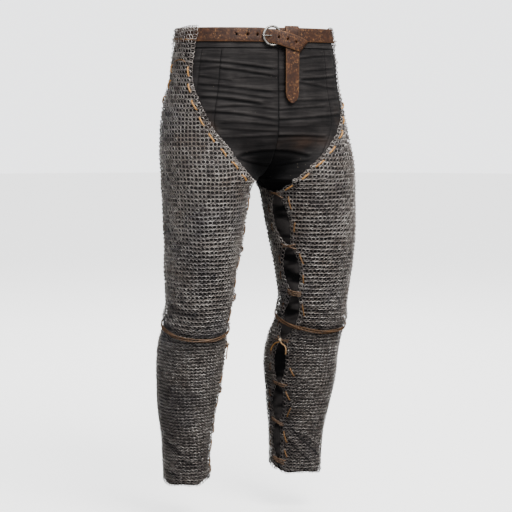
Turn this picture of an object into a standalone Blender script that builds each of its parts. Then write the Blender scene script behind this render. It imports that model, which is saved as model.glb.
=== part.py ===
"""Chainmail leggings: black trousers and two laced mail legs that hang from a belt.

The garment is filled out as if it were worn. Metres, +Z up. The origin is the middle of the waist at the
height of the belt. The front faces -Y and the wearer's right side is at -X.
"""
import itertools
import math
from collections import namedtuple

import bmesh
import bpy
from mathutils import Vector

# Driving dimensions
HEM_Z = -0.926
CROTCH_Z = -0.290
HIP_Z = -0.165
TRUNK_FULLNESS = 2.3
INSEAM_REACH = 0.24

CLOTH = 0.0018
UNDER_MAIL = 0.0024
UNDER_REACH = 0.016
SEAM_GAP = 0.0003
WAISTBAND_TOP = 0.0115
WAISTBAND_BOTTOM = -0.0275
TROUSER_HEM_Z = -0.918

MAIL_INSIDE = 0.0018
MAIL_OUTSIDE = 0.0046
MAIL_TIED = 0.0038
TAB_LIFT = 0.0008
BLOUSE = 0.0035
BLOUSE_ABOVE = 0.016
BLOUSE_REACH = 0.015

BELT_WIDTH = 0.028
BELT_THICK = 0.0030
BELT_LIFT = 0.0026
HOLE_RADIUS = 0.0023

RING_X = -0.0158
RING_Z = -0.0023
RING_LIFT = 0.0057
RING_RADIUS = 0.0185
RING_WIRE = 0.00255
RING_DEPTH = 0.0018
PRONG_RADIUS = 0.0014

GARTER_Z = -0.590
GARTER_DIP = 0.0175
GARTER_FRONT = 0.27
GARTER_HEIGHT = 0.0072
GARTER_THICK = 0.0026
GARTER_HALF_TIED = 0.0045

THONG_RADIUS = 0.00135
TIE_REACH = 0.008
TIE_SPREAD = 0.0042
TIE_RISE = 0.0010
LACED_HALF = 0.0035

# The trunk: half width, front and back at a height
TrunkRow = namedtuple("TrunkRow", "z side front back")
TRUNK = (
    TrunkRow(0.020, 0.1600, -0.1005, 0.1150),
    TrunkRow(0.000, 0.1625, -0.1010, 0.1165),
    TrunkRow(-0.030, 0.1700, -0.1015, 0.1190),
    TrunkRow(-0.060, 0.1755, -0.1020, 0.1215),
    TrunkRow(-0.090, 0.1795, -0.1025, 0.1240),
    TrunkRow(-0.120, 0.1850, -0.1030, 0.1250),
    TrunkRow(-0.150, 0.1925, -0.1035, 0.1225),
    TrunkRow(-0.180, 0.1980, -0.1040, 0.1180),
    TrunkRow(-0.210, 0.2025, -0.1040, 0.1120),
    TrunkRow(-0.240, 0.2055, -0.1040, 0.1060),
    TrunkRow(-0.270, 0.2065, -0.1035, 0.1010),
    TrunkRow(-0.290, 0.2065, -0.1030, 0.0980),
)

# One leg: its inner, outer, front and back reach at a height, and how far its front is turned outwards
LegRow = namedtuple("LegRow", "z inner outer front back turn")
LEG = (
    LegRow(-0.165, 0.0000, 0.1955, -0.1060, 0.1200, 0.100),
    LegRow(-0.200, 0.0000, 0.2010, -0.1065, 0.1140, 0.120),
    LegRow(-0.245, 0.0000, 0.2055, -0.1070, 0.1080, 0.140),
    LegRow(-0.290, 0.0000, 0.2054, -0.1080, 0.1030, 0.155),
    LegRow(-0.294, 0.0110, 0.2053, -0.1080, 0.1025, 0.155),
    LegRow(-0.300, 0.0190, 0.2052, -0.1081, 0.1017, 0.156),
    LegRow(-0.315, 0.0280, 0.2048, -0.1083, 0.0993, 0.160),
    LegRow(-0.348, 0.0330, 0.2040, -0.1085, 0.0945, 0.165),
    LegRow(-0.388, 0.0400, 0.2035, -0.1070, 0.0895, 0.180),
    LegRow(-0.428, 0.0475, 0.2025, -0.1025, 0.0825, 0.170),
    LegRow(-0.468, 0.0550, 0.2020, -0.0940, 0.0765, 0.130),
    LegRow(-0.508, 0.0605, 0.1995, -0.0850, 0.0710, 0.090),
    LegRow(-0.548, 0.0655, 0.1965, -0.0770, 0.0700, 0.090),
    LegRow(-0.588, 0.0675, 0.1985, -0.0650, 0.0860, 0.130),
    LegRow(-0.628, 0.0625, 0.1990, -0.0460, 0.1110, 0.130),
    LegRow(-0.668, 0.0600, 0.1975, -0.0350, 0.1250, 0.140),
    LegRow(-0.708, 0.0630, 0.1960, -0.0275, 0.1300, 0.165),
    LegRow(-0.748, 0.0690, 0.1925, -0.0165, 0.1315, 0.175),
    LegRow(-0.788, 0.0735, 0.1865, -0.0050, 0.1315, 0.180),
    LegRow(-0.828, 0.0780, 0.1800, 0.0050, 0.1290, 0.180),
    LegRow(-0.868, 0.0810, 0.1765, 0.0110, 0.1295, 0.190),
    LegRow(-0.935, 0.0830, 0.1740, 0.0140, 0.1280, 0.190),
)

# Where the mail's edges lie, as shares of the way from the centre front round the side to the centre back
EdgeRow = namedtuple("EdgeRow", "z right_front left_front back")
MAIL_EDGE = (
    EdgeRow(0.020, 0.356, 0.392, 0.575),
    EdgeRow(-0.012, 0.357, 0.392, 0.570),
    EdgeRow(-0.040, 0.360, 0.394, 0.555),
    EdgeRow(-0.068, 0.357, 0.394, 0.540),
    EdgeRow(-0.098, 0.342, 0.390, 0.542),
    EdgeRow(-0.122, 0.309, 0.372, 0.585),
    EdgeRow(-0.145, 0.275, 0.336, 0.640),
    EdgeRow(-0.165, 0.246, 0.301, 0.695),
    EdgeRow(-0.189, 0.225, 0.267, 0.732),
    EdgeRow(-0.215, 0.206, 0.243, 0.757),
    EdgeRow(-0.234, 0.202, 0.227, 0.776),
    EdgeRow(-0.253, 0.199, 0.206, 0.797),
    EdgeRow(-0.275, 0.180, 0.183, 0.822),
    EdgeRow(-0.293, 0.140, 0.146, 0.860),
    EdgeRow(-0.304, 0.104, 0.108, 0.930),
    EdgeRow(-0.311, 0.082, 0.085, 0.985),
    EdgeRow(-0.3175, 0.060, 0.060, 1.042),
)
SLOT_TOP = MAIL_EDGE[-1].z

# The laced slot down the inner front of each leg: the place of its middle, and of each tie
SlotRow = namedtuple("SlotRow", "z middle")
SLOT = (
    SlotRow(-0.3175, 0.051),
    SlotRow(-0.345, 0.056),
    SlotRow(-0.400, 0.062),
    SlotRow(-0.430, 0.076),
    SlotRow(-0.485, 0.070),
    SlotRow(-0.530, 0.078),
    SlotRow(-0.580, 0.068),
    SlotRow(-0.630, 0.066),
    SlotRow(-0.680, 0.070),
    SlotRow(-0.730, 0.068),
    SlotRow(-0.770, 0.054),
    SlotRow(-0.810, 0.052),
    SlotRow(-0.860, 0.036),
    SlotRow(-0.900, 0.052),
    SlotRow(-0.930, 0.055),
)
TIES = (-0.3197, -0.4283, -0.5271, -0.6321, -0.7278, -0.8148, -0.9008)
BOW_TIE = 3
OPEN_HALF = (0.024, 0.024, 0.021, 0.018, 0.018, 0.015, 0.006)

# Panels of one half of the trousers, from the centre front round to the centre back. Each has a thigh and a
# shin, which meet under the garter.
TrouserPiece = namedtuple("TrouserPiece", "name start end columns")
TROUSER_PIECES = (
    TrouserPiece("front", 0.0, 0.2175, 5),
    TrouserPiece("side_front", 0.2175, 0.318, 2),
    TrouserPiece("side_back", 0.318, 0.68, 5),
    TrouserPiece("back", 0.68, 1.0, 5),
)
CROTCH_ROWS = (-0.263, -0.277, -0.286, CROTCH_Z, -0.294, -0.300, -0.309)
THIGH_ROWS = (
    -0.0278, -0.040, -0.055, -0.070, -0.085, -0.100, -0.116, -0.132, -0.148, -0.164, -0.180, -0.197, -0.214,
    -0.231, -0.248, *CROTCH_ROWS, -0.3197, -0.350, -0.400, -0.450, -0.500, -0.550, GARTER_Z + SEAM_GAP / 2,
)
SHIN_ROWS = (GARTER_Z - SEAM_GAP / 2, -0.630, -0.680, -0.740, -0.800, -0.860, TROUSER_HEM_Z)

# The largest creases across the front: height, the stretch they run over, rise, reach and slope
FoldRow = namedtuple("FoldRow", "z start end rise reach slope")
FOLDS = (
    FoldRow(-0.055, 0.02, 0.21, 0.0012, 0.009, 0.010),
    FoldRow(-0.085, 0.05, 0.33, 0.0017, 0.009, -0.014),
    FoldRow(-0.116, 0.00, 0.26, 0.0021, 0.010, 0.018),
    FoldRow(-0.148, 0.02, 0.29, 0.0024, 0.010, -0.022),
    FoldRow(-0.180, 0.00, 0.24, 0.0025, 0.010, 0.030),
    FoldRow(-0.214, 0.00, 0.20, 0.0022, 0.010, -0.036),
    FoldRow(-0.248, 0.00, 0.14, 0.0018, 0.010, 0.040),
    FoldRow(-0.100, 0.70, 1.00, 0.0016, 0.010, 0.020),
    FoldRow(-0.197, 0.74, 1.00, 0.0020, 0.010, -0.030),
    FoldRow(-0.231, 0.80, 1.00, 0.0022, 0.010, 0.040),
)

# The belt from its end under the buckle, as upper and lower edge (x, z), lift and turn about its length
BeltRow = namedtuple("BeltRow", "x1 z1 x2 z2 lift turn")
BELT_START = (
    BeltRow(-0.0030, 0.0140, -0.0030, -0.0140, BELT_LIFT, 0),
    BeltRow(0.0062, 0.0140, 0.0062, -0.0140, BELT_LIFT, 0),
    BeltRow(0.0108, 0.0140, 0.0108, -0.0140, 0.0055, 0),
    BeltRow(0.0250, 0.0140, 0.0250, -0.0140, 0.0055, 0),
    BeltRow(0.0400, 0.0140, 0.0400, -0.0140, 0.0055, 0),
    BeltRow(0.0540, 0.0140, 0.0540, -0.0140, 0.0055, 0),
    BeltRow(0.0660, 0.0140, 0.0660, -0.0140, 0.0053, 0),
    BeltRow(0.0760, 0.0140, 0.0760, -0.0140, BELT_LIFT, 0),
)
BELT_KNOT = (
    BeltRow(-0.0900, 0.0140, -0.0900, -0.0140, BELT_LIFT, 0),
    BeltRow(-0.0650, 0.0140, -0.0650, -0.0140, BELT_LIFT, 0),
    BeltRow(-0.0450, 0.0140, -0.0450, -0.0140, BELT_LIFT, 0),
    BeltRow(-0.0330, 0.0134, -0.0330, -0.0145, BELT_LIFT, 0),
    BeltRow(-0.0240, 0.0108, -0.0240, -0.0154, 0.0029, 0),
    BeltRow(-0.0160, 0.0104, -0.0162, -0.0168, 0.0063, 0),
    BeltRow(-0.0074, 0.0092, -0.0080, -0.0189, 0.0098, 0),
    BeltRow(0.0040, 0.0073, 0.0002, -0.0212, 0.0107, 0),
    BeltRow(0.0125, 0.0052, 0.0072, -0.0236, 0.0121, 0),
    BeltRow(0.0229, 0.0024, 0.0160, -0.0264, 0.0123, 0),
    BeltRow(0.0443, -0.0047, 0.0300, -0.0306, 0.0121, 0),
    BeltRow(0.0600, -0.0122, 0.0404, -0.0334, 0.0110, 0),
    BeltRow(0.0625, -0.0147, 0.0429, -0.0359, 0.0071, 90),
    BeltRow(0.0605, -0.0127, 0.0409, -0.0339, 0.0025, 180),
    BeltRow(0.0540, -0.0020, 0.0300, -0.0160, 0.0024, 180),
    BeltRow(0.0440, 0.0125, 0.0125, 0.0125, 0.0023, 180),
    BeltRow(0.0430, 0.0163, 0.0118, 0.0163, 0.0055, 270),
    BeltRow(0.0425, 0.0125, 0.0118, 0.0125, 0.0088, 360),
    BeltRow(0.0420, -0.0140, 0.0120, -0.0140, 0.0088, 360),
    BeltRow(0.0418, -0.0500, 0.0122, -0.0500, 0.0086, 360),
    BeltRow(0.0418, -0.0850, 0.0124, -0.0850, 0.0076, 360),
    BeltRow(0.0416, -0.1150, 0.0126, -0.1150, 0.0068, 360),
    BeltRow(0.0398, -0.1240, 0.0144, -0.1240, 0.0066, 360),
    BeltRow(0.0352, -0.1308, 0.0190, -0.1308, 0.0065, 360),
    BeltRow(0.0298, -0.1348, 0.0244, -0.1348, 0.0064, 360),
)
BELT_AROUND = 60
BELT_HOLES = ((-0.0864, 0.0000), (-0.0654, -0.0004), (-0.0459, -0.0010))
TAIL_HOLES = ((-0.0040, -0.0054), (0.0143, -0.0094), (0.0331, -0.0146))
PRONG_SLOT = (-0.0235, -0.0088)

# The prong from the bar of the ring to the rim that it rests on: x and lift
PRONG = ((-0.0010, 0.0056), (-0.0110, 0.0054), (-0.0178, 0.0063), (-0.0245, 0.0084), (-0.0330, 0.0100),
         (-0.0388, 0.0100))

# The two free ends of the bow below each garter: how far below the tie, how far outwards from it, and lift
FreeEnd = namedtuple("FreeEnd", "name points")
FREE_ENDS = (
    FreeEnd("outer", ((0.0042, 0.0021, 0.0078), (0.0080, 0.0072, 0.0070), (0.0111, 0.0128, 0.0064),
                      (0.0156, 0.0165, 0.0063), (0.0212, 0.0182, 0.0063), (0.0292, 0.0189, 0.0063))),
    FreeEnd("inner", ((0.0042, -0.0021, 0.0078), (0.0062, -0.0066, 0.0072), (0.0084, -0.0112, 0.0066),
                      (0.0115, -0.0152, 0.0063), (0.0152, -0.0185, 0.0063), (0.0200, -0.0211, 0.0063),
                      (0.0262, -0.0226, 0.0063))),
)
FREE_END_STEP = 0.006

SIDES = (("right", -1), ("left", 1))

# Colour, roughness and metallic value of each material
MATERIALS = {
    "mail": ((0.30, 0.28, 0.265), 0.45, 0.9),
    "black_cloth": ((0.022, 0.022, 0.024), 0.75, 0.0),
    "belt_leather": ((0.15, 0.075, 0.04), 0.6, 0.0),
    "thong": ((0.46, 0.27, 0.13), 0.65, 0.0),
    "garter": ((0.17, 0.085, 0.045), 0.65, 0.0),
    "buckle_metal": ((0.55, 0.54, 0.51), 0.4, 1.0),
}


def clear_scene():
    """Remove what a new file starts with."""
    for thing in list(bpy.data.objects):
        bpy.data.objects.remove(thing, do_unlink=True)


def table_at(rows, z):
    """Read a table at a height, on a smooth curve through its rows."""
    if z >= rows[0].z:
        return rows[0][1:]
    if z <= rows[-1].z:
        return rows[-1][1:]
    low = next(i for i in range(len(rows) - 1) if rows[i + 1].z <= z)

    def slope(i, column):
        above, below = rows[max(i - 1, 0)], rows[min(i + 1, len(rows) - 1)]
        return (below[column] - above[column]) / (below.z - above.z)

    span = rows[low + 1].z - rows[low].z
    s = (z - rows[low].z) / span
    values = []
    for column in range(1, len(rows[0])):
        here, there = rows[low][column], rows[low + 1][column]
        leaving, arriving = slope(low, column) * span, slope(low + 1, column) * span
        values.append((2 * s ** 3 - 3 * s ** 2 + 1) * here + (s ** 3 - 2 * s ** 2 + s) * leaving
                      + (3 * s ** 2 - 2 * s ** 3) * there + (s ** 3 - s ** 2) * arriving)
    return values


def signed_power(value, exponent):
    """Raise a number's size to a power and keep its sign."""
    return math.copysign(abs(value) ** exponent, value)


def trunk_curve(z, t):
    """The trunk's outline at a height: t is 0 at the centre front, 0.5 at the side, 1 at the centre back."""
    side, front, back = table_at(TRUNK, z)
    power = 2 / TRUNK_FULLNESS
    middle, depth = (front + back) / 2, (back - front) / 2
    return (side * signed_power(math.sin(math.pi * t), power),
            middle - depth * signed_power(math.cos(math.pi * t), power))


def leg_curve(z, t):
    """One leg's outline at a height: t is 0 and 1 at the inseam and 0.5 at the outer side."""
    inner, outer, front, back, turn = table_at(LEG, z)
    angle = math.pi * (1 + 2 * t)
    across, depth = (outer - inner) / 2 * math.cos(angle), (back - front) / 2 * math.sin(angle)
    return (inner + outer) / 2 + across, (front + back) / 2 + depth - turn * across


def eased(share):
    """A share from 0 to 1 that starts and ends gently."""
    return share * share * (3 - 2 * share)


def form(z, t):
    """The outline of the trousers, which closes from the trunk into a leg between hip and crotch."""
    if z <= CROTCH_Z:
        return leg_curve(z, t % 1.0)
    if z >= HIP_Z:
        return trunk_curve(z, t)
    fall = (HIP_Z - z) / (HIP_Z - CROTCH_Z)
    closed_at_inseam = 1 - math.sqrt(max(0.0, 1 - fall ** 2))
    outwards = eased(min(1.0, min(abs(t), abs(1 - t)) / INSEAM_REACH))
    closed = (1 - outwards) * closed_at_inseam + outwards * eased(fall)
    return tuple((1 - closed) * a + closed * b for a, b in zip(trunk_curve(z, t), leg_curve(z, t)))


def form_point(z, t):
    """A point of the form in space."""
    return Vector((*form(z, t), z))


def speed(z, t):
    """How many metres of the outline one whole t is worth here."""
    step = 0.001
    return (form_point(z, t + step) - form_point(z, t - step)).length / (2 * step)


def width_across(z, t):
    """How many metres one whole t is worth square to a line that keeps its t."""
    step_t, step_z = 0.001, 0.010
    along = (form_point(z, t + step_t) - form_point(z, t - step_t)) / (2 * step_t)
    upwards = form_point(z + step_z, t) - form_point(z - step_z, t)
    return along.cross(upwards.normalized()).length


def normal(z, t):
    """The direction straight out of the form."""
    step_t, step_z = 0.001, 0.010
    along = form_point(z, t + step_t) - form_point(z, t - step_t)
    upwards = form_point(z + step_z, t) - form_point(z - step_z, t)
    return along.cross(upwards).normalized()


def surface(z, t, lift=0.0):
    """A point that stands off the form by its lift."""
    return form_point(z, t) + normal(z, t) * lift


def side_point(z, t, lift, side):
    """A point on the wearer's left (side 1) or, mirrored, on the right (side -1), clear of the middle."""
    point = surface(z, t, lift)
    return Vector((side * max(point.x, SEAM_GAP / 2), point.y, point.z))


def fold_rise(z, t):
    """How far the creases of the trousers stand out here."""
    rise = 0.0
    for fold in FOLDS:
        middle = (fold.start + fold.end) / 2
        along = (t - middle) / ((fold.end - fold.start) / 2)
        if abs(along) >= 1:
            continue
        off = (z - fold.z - fold.slope * (t - middle)) / fold.reach
        rise += fold.rise * (1 - along ** 2) * math.exp(-off ** 2)
    return rise


def add_object(name, mesh, material):
    """Give a mesh its object and its material."""
    thing = bpy.data.objects.new(name, mesh)
    thing.data.materials.append(bpy.data.materials[material])
    bpy.data.collections["chainmail_leggings"].objects.link(thing)
    return thing


def wall(name, outside, inside, material, ring=False, flipped=False):
    """Make a closed wall between two grids of points, given row by row; a ring joins its first column.

    The narrow faces down both ends are split the same way, so that two walls that meet at a seam stay apart.
    """
    shell = bmesh.new()
    outer = [[shell.verts.new(point) for point in row] for row in outside]
    inner = [[shell.verts.new(point) for point in row] for row in inside]
    rows, columns = len(outer), len(outer[0])

    def quad(a, b, c, d):
        shell.faces.new((d, c, b, a) if flipped else (a, b, c, d))

    def split_quad(a, b, c, d):
        for corners in ((a, b, c), (a, c, d)):
            shell.faces.new(corners[::-1] if flipped else corners)

    for i in range(rows - 1):
        for j in range(columns if ring else columns - 1):
            k = (j + 1) % columns
            quad(outer[i][j], outer[i + 1][j], outer[i + 1][k], outer[i][k])
            quad(inner[i][j], inner[i][k], inner[i + 1][k], inner[i + 1][j])
    for j in range(columns if ring else columns - 1):
        k = (j + 1) % columns
        quad(outer[0][j], outer[0][k], inner[0][k], inner[0][j])
        quad(outer[-1][j], inner[-1][j], inner[-1][k], outer[-1][k])
    if not ring:
        for i in range(rows - 1):
            split_quad(outer[i][0], inner[i][0], inner[i + 1][0], outer[i + 1][0])
            split_quad(outer[i][-1], outer[i + 1][-1], inner[i + 1][-1], inner[i][-1])
    mesh = bpy.data.meshes.new(name)
    shell.to_mesh(mesh)
    shell.free()
    mesh.shade_smooth()
    mesh.set_sharp_from_angle(angle=math.radians(40))
    return add_object(name, mesh, material)


def trouser_lift(z, t, side_name):
    """The lift of the trousers' outer face: their creases where they show, and pressed in under the mail."""
    first, last = mail_span(z, side_name)
    if z <= SLOT_TOP:
        return -UNDER_MAIL
    covered = min((t - first) * speed(z, first), (last - t) * speed(z, last)) / UNDER_REACH
    covered = max(covered, (SLOT_TOP + UNDER_REACH - z) / UNDER_REACH)
    pressed = min(max(covered, 0.0), 1.0)
    return (1 - pressed) * fold_rise(z, t) - pressed * UNDER_MAIL


def make_trousers():
    """The black trousers: four panels a side, each in two lengths, and a waistband in two halves."""
    lengths = (("thigh", THIGH_ROWS), ("shin", SHIN_ROWS))
    for side_name, side in SIDES:
        for piece, (length, rows) in itertools.product(TROUSER_PIECES, lengths):
            outside, inside = [], []
            for z in rows:
                shares = [piece.start + (piece.end - piece.start) * j / piece.columns
                          for j in range(piece.columns + 1)]
                gap = SEAM_GAP if z in CROTCH_ROWS else SEAM_GAP / 2
                shares[0] += gap / width_across(z, shares[0])
                shares[-1] -= gap / width_across(z, shares[-1])
                lifts = [trouser_lift(z, t, side_name) for t in shares]
                outside.append([side_point(z, t, lift, side) for t, lift in zip(shares, lifts)])
                inside.append([side_point(z, t, min(lift, 0.0) - CLOTH, side)
                               for t, lift in zip(shares, lifts)])
            name = f"trousers_{piece.name}_{length}_{side_name}"
            wall(name, outside, inside, "black_cloth", flipped=side < 0)
    for name, first, last in (("front", -0.5, 0.5), ("back", 0.5, 1.5)):
        columns = 22
        gap = SEAM_GAP / 2 / speed(0.0, 0.5)
        shares = [first + gap + (last - first - 2 * gap) * j / columns for j in range(columns + 1)]
        levels = (WAISTBAND_TOP, 0.0, -BELT_WIDTH / 2, WAISTBAND_BOTTOM)
        outside = [[surface(z, t) for t in shares] for z in levels]
        inside = [[surface(z, t, -CLOTH) for t in shares] for z in levels]
        wall(f"waistband_{name}", outside, inside, "black_cloth")


def slot_half(z):
    """Half the width of the laced slot: wide between two ties and nearly closed at each."""
    below = [i for i, tie in enumerate(TIES) if z <= tie]
    if not below:
        return LACED_HALF
    lens = below[-1]
    bottom = TIES[lens + 1] if lens + 1 < len(TIES) else HEM_Z - 0.02
    share = (z - TIES[lens]) / (bottom - TIES[lens])
    return LACED_HALF + (OPEN_HALF[lens] - LACED_HALF) * math.sin(math.pi * share) ** 0.7


def mail_span(z, side_name):
    """Where the mail starts and ends at a height, going round from its front edge to its back edge."""
    if z >= SLOT_TOP:
        right_front, left_front, back = table_at(MAIL_EDGE, z)
        return (right_front if side_name == "right" else left_front), back
    middle = table_at(SLOT, z)[0]
    half = slot_half(z) / speed(z, middle)
    return middle + half, 1 + middle - half


def garter_offset(t):
    """How far the garter's line lies above or below its mean height."""
    return -GARTER_DIP * math.cos(2 * math.pi * (t - GARTER_FRONT))


def mail_outside(height_over_garter):
    """The lift of the mail's outer face, which is tied in at the garter and blouses over it."""
    clear_of_band = max(0.0, abs(height_over_garter) - GARTER_HALF_TIED)
    tied = math.exp(-(clear_of_band / 0.006) ** 2)
    blouse = math.exp(-((height_over_garter - BLOUSE_ABOVE) / BLOUSE_REACH) ** 2)
    return MAIL_OUTSIDE - (MAIL_OUTSIDE - MAIL_TIED) * tied + BLOUSE * blouse * (1 - tied)


# Rows of a mail leg: outer height and lift, inner height and lift, and how far the row follows the garter
MailRow = namedtuple("MailRow", "z lift inner_z inner_lift follow")


def plain_mail_row(z, follow=0.0):
    """A row whose inner and outer points lie straight above each other."""
    lift = mail_outside(z - GARTER_Z)
    return MailRow(z, lift, z, MAIL_INSIDE + (lift - MAIL_OUTSIDE) * (lift > MAIL_OUTSIDE), follow)


def mail_rows():
    """The rows of the thigh and of the shin."""
    over_belt = BELT_LIFT + BELT_THICK / 2 + 2 * SEAM_GAP
    thick = MAIL_OUTSIDE - MAIL_INSIDE
    top = BELT_WIDTH / 2 + 0.0006
    thigh = [
        MailRow(top + thick, TAB_LIFT, top, TAB_LIFT, 0),
        MailRow(top + thick, over_belt + thick - 0.001, top, over_belt, 0),
        MailRow(-0.0150, over_belt + thick, -0.0165, over_belt, 0),
        MailRow(-0.0300, MAIL_OUTSIDE, -0.0300, MAIL_INSIDE, 0),
    ]
    hip = (-0.055, -0.085, -0.112, -0.135, -0.158, -0.185, -0.214, -0.240, *CROTCH_ROWS)
    thigh += [plain_mail_row(z) for z in hip]
    for upper, lower in zip(TIES[:2], TIES[1:3]):
        thigh += [plain_mail_row(upper + (lower - upper) * share) for share in (0.0, 0.17, 0.5, 0.83)]
    thigh += [plain_mail_row(z, follow) for z, follow in
              ((TIES[2], 0.0), (-0.550, 0.2), (-0.566, 0.6), (-0.578, 0.9),
               (GARTER_Z + GARTER_HALF_TIED, 1.0), (GARTER_Z + SEAM_GAP, 1.0))]
    shin = [plain_mail_row(z, follow) for z, follow in
            ((GARTER_Z - SEAM_GAP, 1.0), (GARTER_Z - GARTER_HALF_TIED, 1.0), (-0.612, 0.6), (TIES[3], 0.15))]
    for i in range(3, len(TIES) - 1):
        upper, lower = TIES[i], TIES[i + 1]
        shin += [plain_mail_row(upper + (lower - upper) * share) for share in (0.17, 0.5, 0.83, 1.0)]
    shin += [plain_mail_row(z) for z in (-0.913, HEM_Z)]
    return thigh, shin


def make_mail():
    """The two mail legs, each a thigh and a shin that meet under the garter."""
    columns = 18
    thigh, shin = mail_rows()
    for side_name, side in SIDES:
        for part, rows in (("thigh", thigh), ("shin", shin)):
            outside, inside = [], []
            for row in rows:
                first, last = mail_span(row.z, side_name)
                shares = [first + (last - first) * j / columns for j in range(columns + 1)]
                dips = [row.follow * garter_offset(t) for t in shares]
                outside.append([side_point(row.z + dip, t, row.lift, side) for t, dip in zip(shares, dips)])
                inside.append([side_point(row.inner_z + dip, t, row.inner_lift, side)
                               for t, dip in zip(shares, dips)])
            wall(f"mail_{part}_{side_name}", outside, inside, "mail", flipped=side < 0)


def share_at(x, z):
    """The share of the way round the trunk at which the front has a given x."""
    side = table_at(TRUNK, z)[0]
    return math.copysign(math.asin((abs(x) / side) ** (TRUNK_FULLNESS / 2)) / math.pi, x)


def front_point(x, z, lift):
    """A point in front of the trunk, at a given x and height."""
    return surface(z, share_at(x, z), lift)


def belt_section(first, second, lift_normal, onwards, turn):
    """The four corners of the belt between two edge points; the turn leans its face towards onwards."""
    angle = math.radians(turn)
    face = (lift_normal * math.cos(angle) + onwards * math.sin(angle)) * BELT_THICK / 2
    return first + face, second + face, second - face, first - face


def knot_section(row):
    """A section of the belt where it lies on the front of the trunk."""
    first, second = front_point(row.x1, row.z1, row.lift), front_point(row.x2, row.z2, row.lift)
    middle_x, middle_z = (row.x1 + row.x2) / 2, (row.z1 + row.z2) / 2
    out = normal(middle_z, share_at(middle_x, middle_z))
    onwards = (second - first).cross(out).normalized()
    return belt_section(first, second, out, -onwards, row.turn)


def make_belt():
    """The belt, one strap: from the buckle round the waist, through the ring, and tucked behind itself."""
    sections = [knot_section(row) for row in BELT_START]
    begin = share_at(BELT_START[-1].x1, 0.0)
    end = 2 + share_at(BELT_KNOT[0].x1, 0.0)
    half = BELT_WIDTH / 2
    for i in range(1, BELT_AROUND):
        t = begin + (end - begin) * i / BELT_AROUND
        t = t if t <= 1 else t - 2
        sections.append(belt_section(surface(half, t, BELT_LIFT), surface(-half, t, BELT_LIFT),
                                     normal(0.0, t), Vector((1, 0, 0)), 0))
    sections += [knot_section(row) for row in BELT_KNOT]
    strap = bmesh.new()
    rings = [[strap.verts.new(corner) for corner in section] for section in sections]
    for near, far in zip(rings, rings[1:]):
        for j in range(4):
            k = (j + 1) % 4
            strap.faces.new((near[j], near[k], far[k], far[j]))
    strap.faces.new(reversed(rings[0]))
    strap.faces.new(rings[-1])
    bmesh.ops.recalc_face_normals(strap, faces=strap.faces)
    mesh = bpy.data.meshes.new("belt_strap")
    strap.to_mesh(mesh)
    strap.free()
    belt = add_object("belt_strap", mesh, "belt_leather")
    for i, (x, z) in enumerate(BELT_HOLES):
        cut_hole(belt, f"hole_cutter_{i}", x, z, 0.0, 0.0045)
    for i, (x, z) in enumerate(TAIL_HOLES):
        cut_hole(belt, f"tail_hole_cutter_{i}", x, z, 0.0105, 0.0030)
    cut_slot(belt)


def add_cutter(belt, cutter):
    """Cut a hidden shape out of the belt."""
    for collection in list(cutter.users_collection):
        collection.objects.unlink(cutter)
    bpy.data.collections["cutters"].objects.link(cutter)
    cutter.hide_render = True
    cutter.display_type = "WIRE"
    cut = belt.modifiers.new(cutter.name, "BOOLEAN")
    cut.operation = "DIFFERENCE"
    cut.object = cutter


def cut_hole(belt, name, x, z, lift, reach):
    """Punch one round hole through the strap that lies at this lift."""
    t = share_at(x, z)
    bpy.ops.mesh.primitive_cylinder_add(vertices=8, radius=HOLE_RADIUS, depth=2 * reach,
                                        location=surface(z, t, lift + 0.0021))
    cutter = bpy.context.object
    cutter.name = name
    cutter.rotation_euler = normal(z, t).to_track_quat("Z", "Y").to_euler()
    add_cutter(belt, cutter)


def cut_slot(belt):
    """Open the strap where the prong comes through it."""
    start, end = PRONG_SLOT
    bpy.ops.mesh.primitive_cube_add(size=1, location=front_point((start + end) / 2, RING_Z, 0.006))
    cutter = bpy.context.object
    cutter.name = "prong_slot_cutter"
    cutter.dimensions = (end - start, 0.012, 2 * PRONG_RADIUS + 0.0016)
    add_cutter(belt, cutter)


def make_buckle():
    """The round buckle and its prong."""
    t = share_at(RING_X, RING_Z)
    bpy.ops.mesh.primitive_torus_add(major_segments=24, minor_segments=6, major_radius=RING_RADIUS,
                                     minor_radius=RING_WIRE, location=surface(RING_Z, t, RING_LIFT))
    ring = bpy.context.object
    ring.name = "buckle_ring"
    ring.rotation_euler = normal(RING_Z, t).to_track_quat("Z", "Y").to_euler()
    for vertex in ring.data.vertices:
        vertex.co.z *= RING_DEPTH / RING_WIRE
    ring.data.shade_smooth()
    ring.data.materials.append(bpy.data.materials["buckle_metal"])
    for collection in list(ring.users_collection):
        collection.objects.unlink(ring)
    bpy.data.collections["chainmail_leggings"].objects.link(ring)
    points = [front_point(x, RING_Z, lift) for x, lift in PRONG]
    add_tube("buckle_prong", points, PRONG_RADIUS, "buckle_metal", resolution=1)


def add_tube(name, points, radius, material, resolution=0):
    """A round rod or thong through a few points, with filled ends."""
    curve = bpy.data.curves.new(name, "CURVE")
    curve.dimensions = "3D"
    curve.bevel_depth = radius
    curve.bevel_resolution = resolution
    curve.use_fill_caps = True
    spline = curve.splines.new("POLY")
    spline.points.add(len(points) - 1)
    for knot, point in zip(spline.points, points):
        knot.co = (*point, 1.0)
    thing = bpy.data.objects.new(name, curve)
    curve.materials.append(bpy.data.materials[material])
    bpy.data.collections["chainmail_leggings"].objects.link(thing)
    return thing


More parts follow.
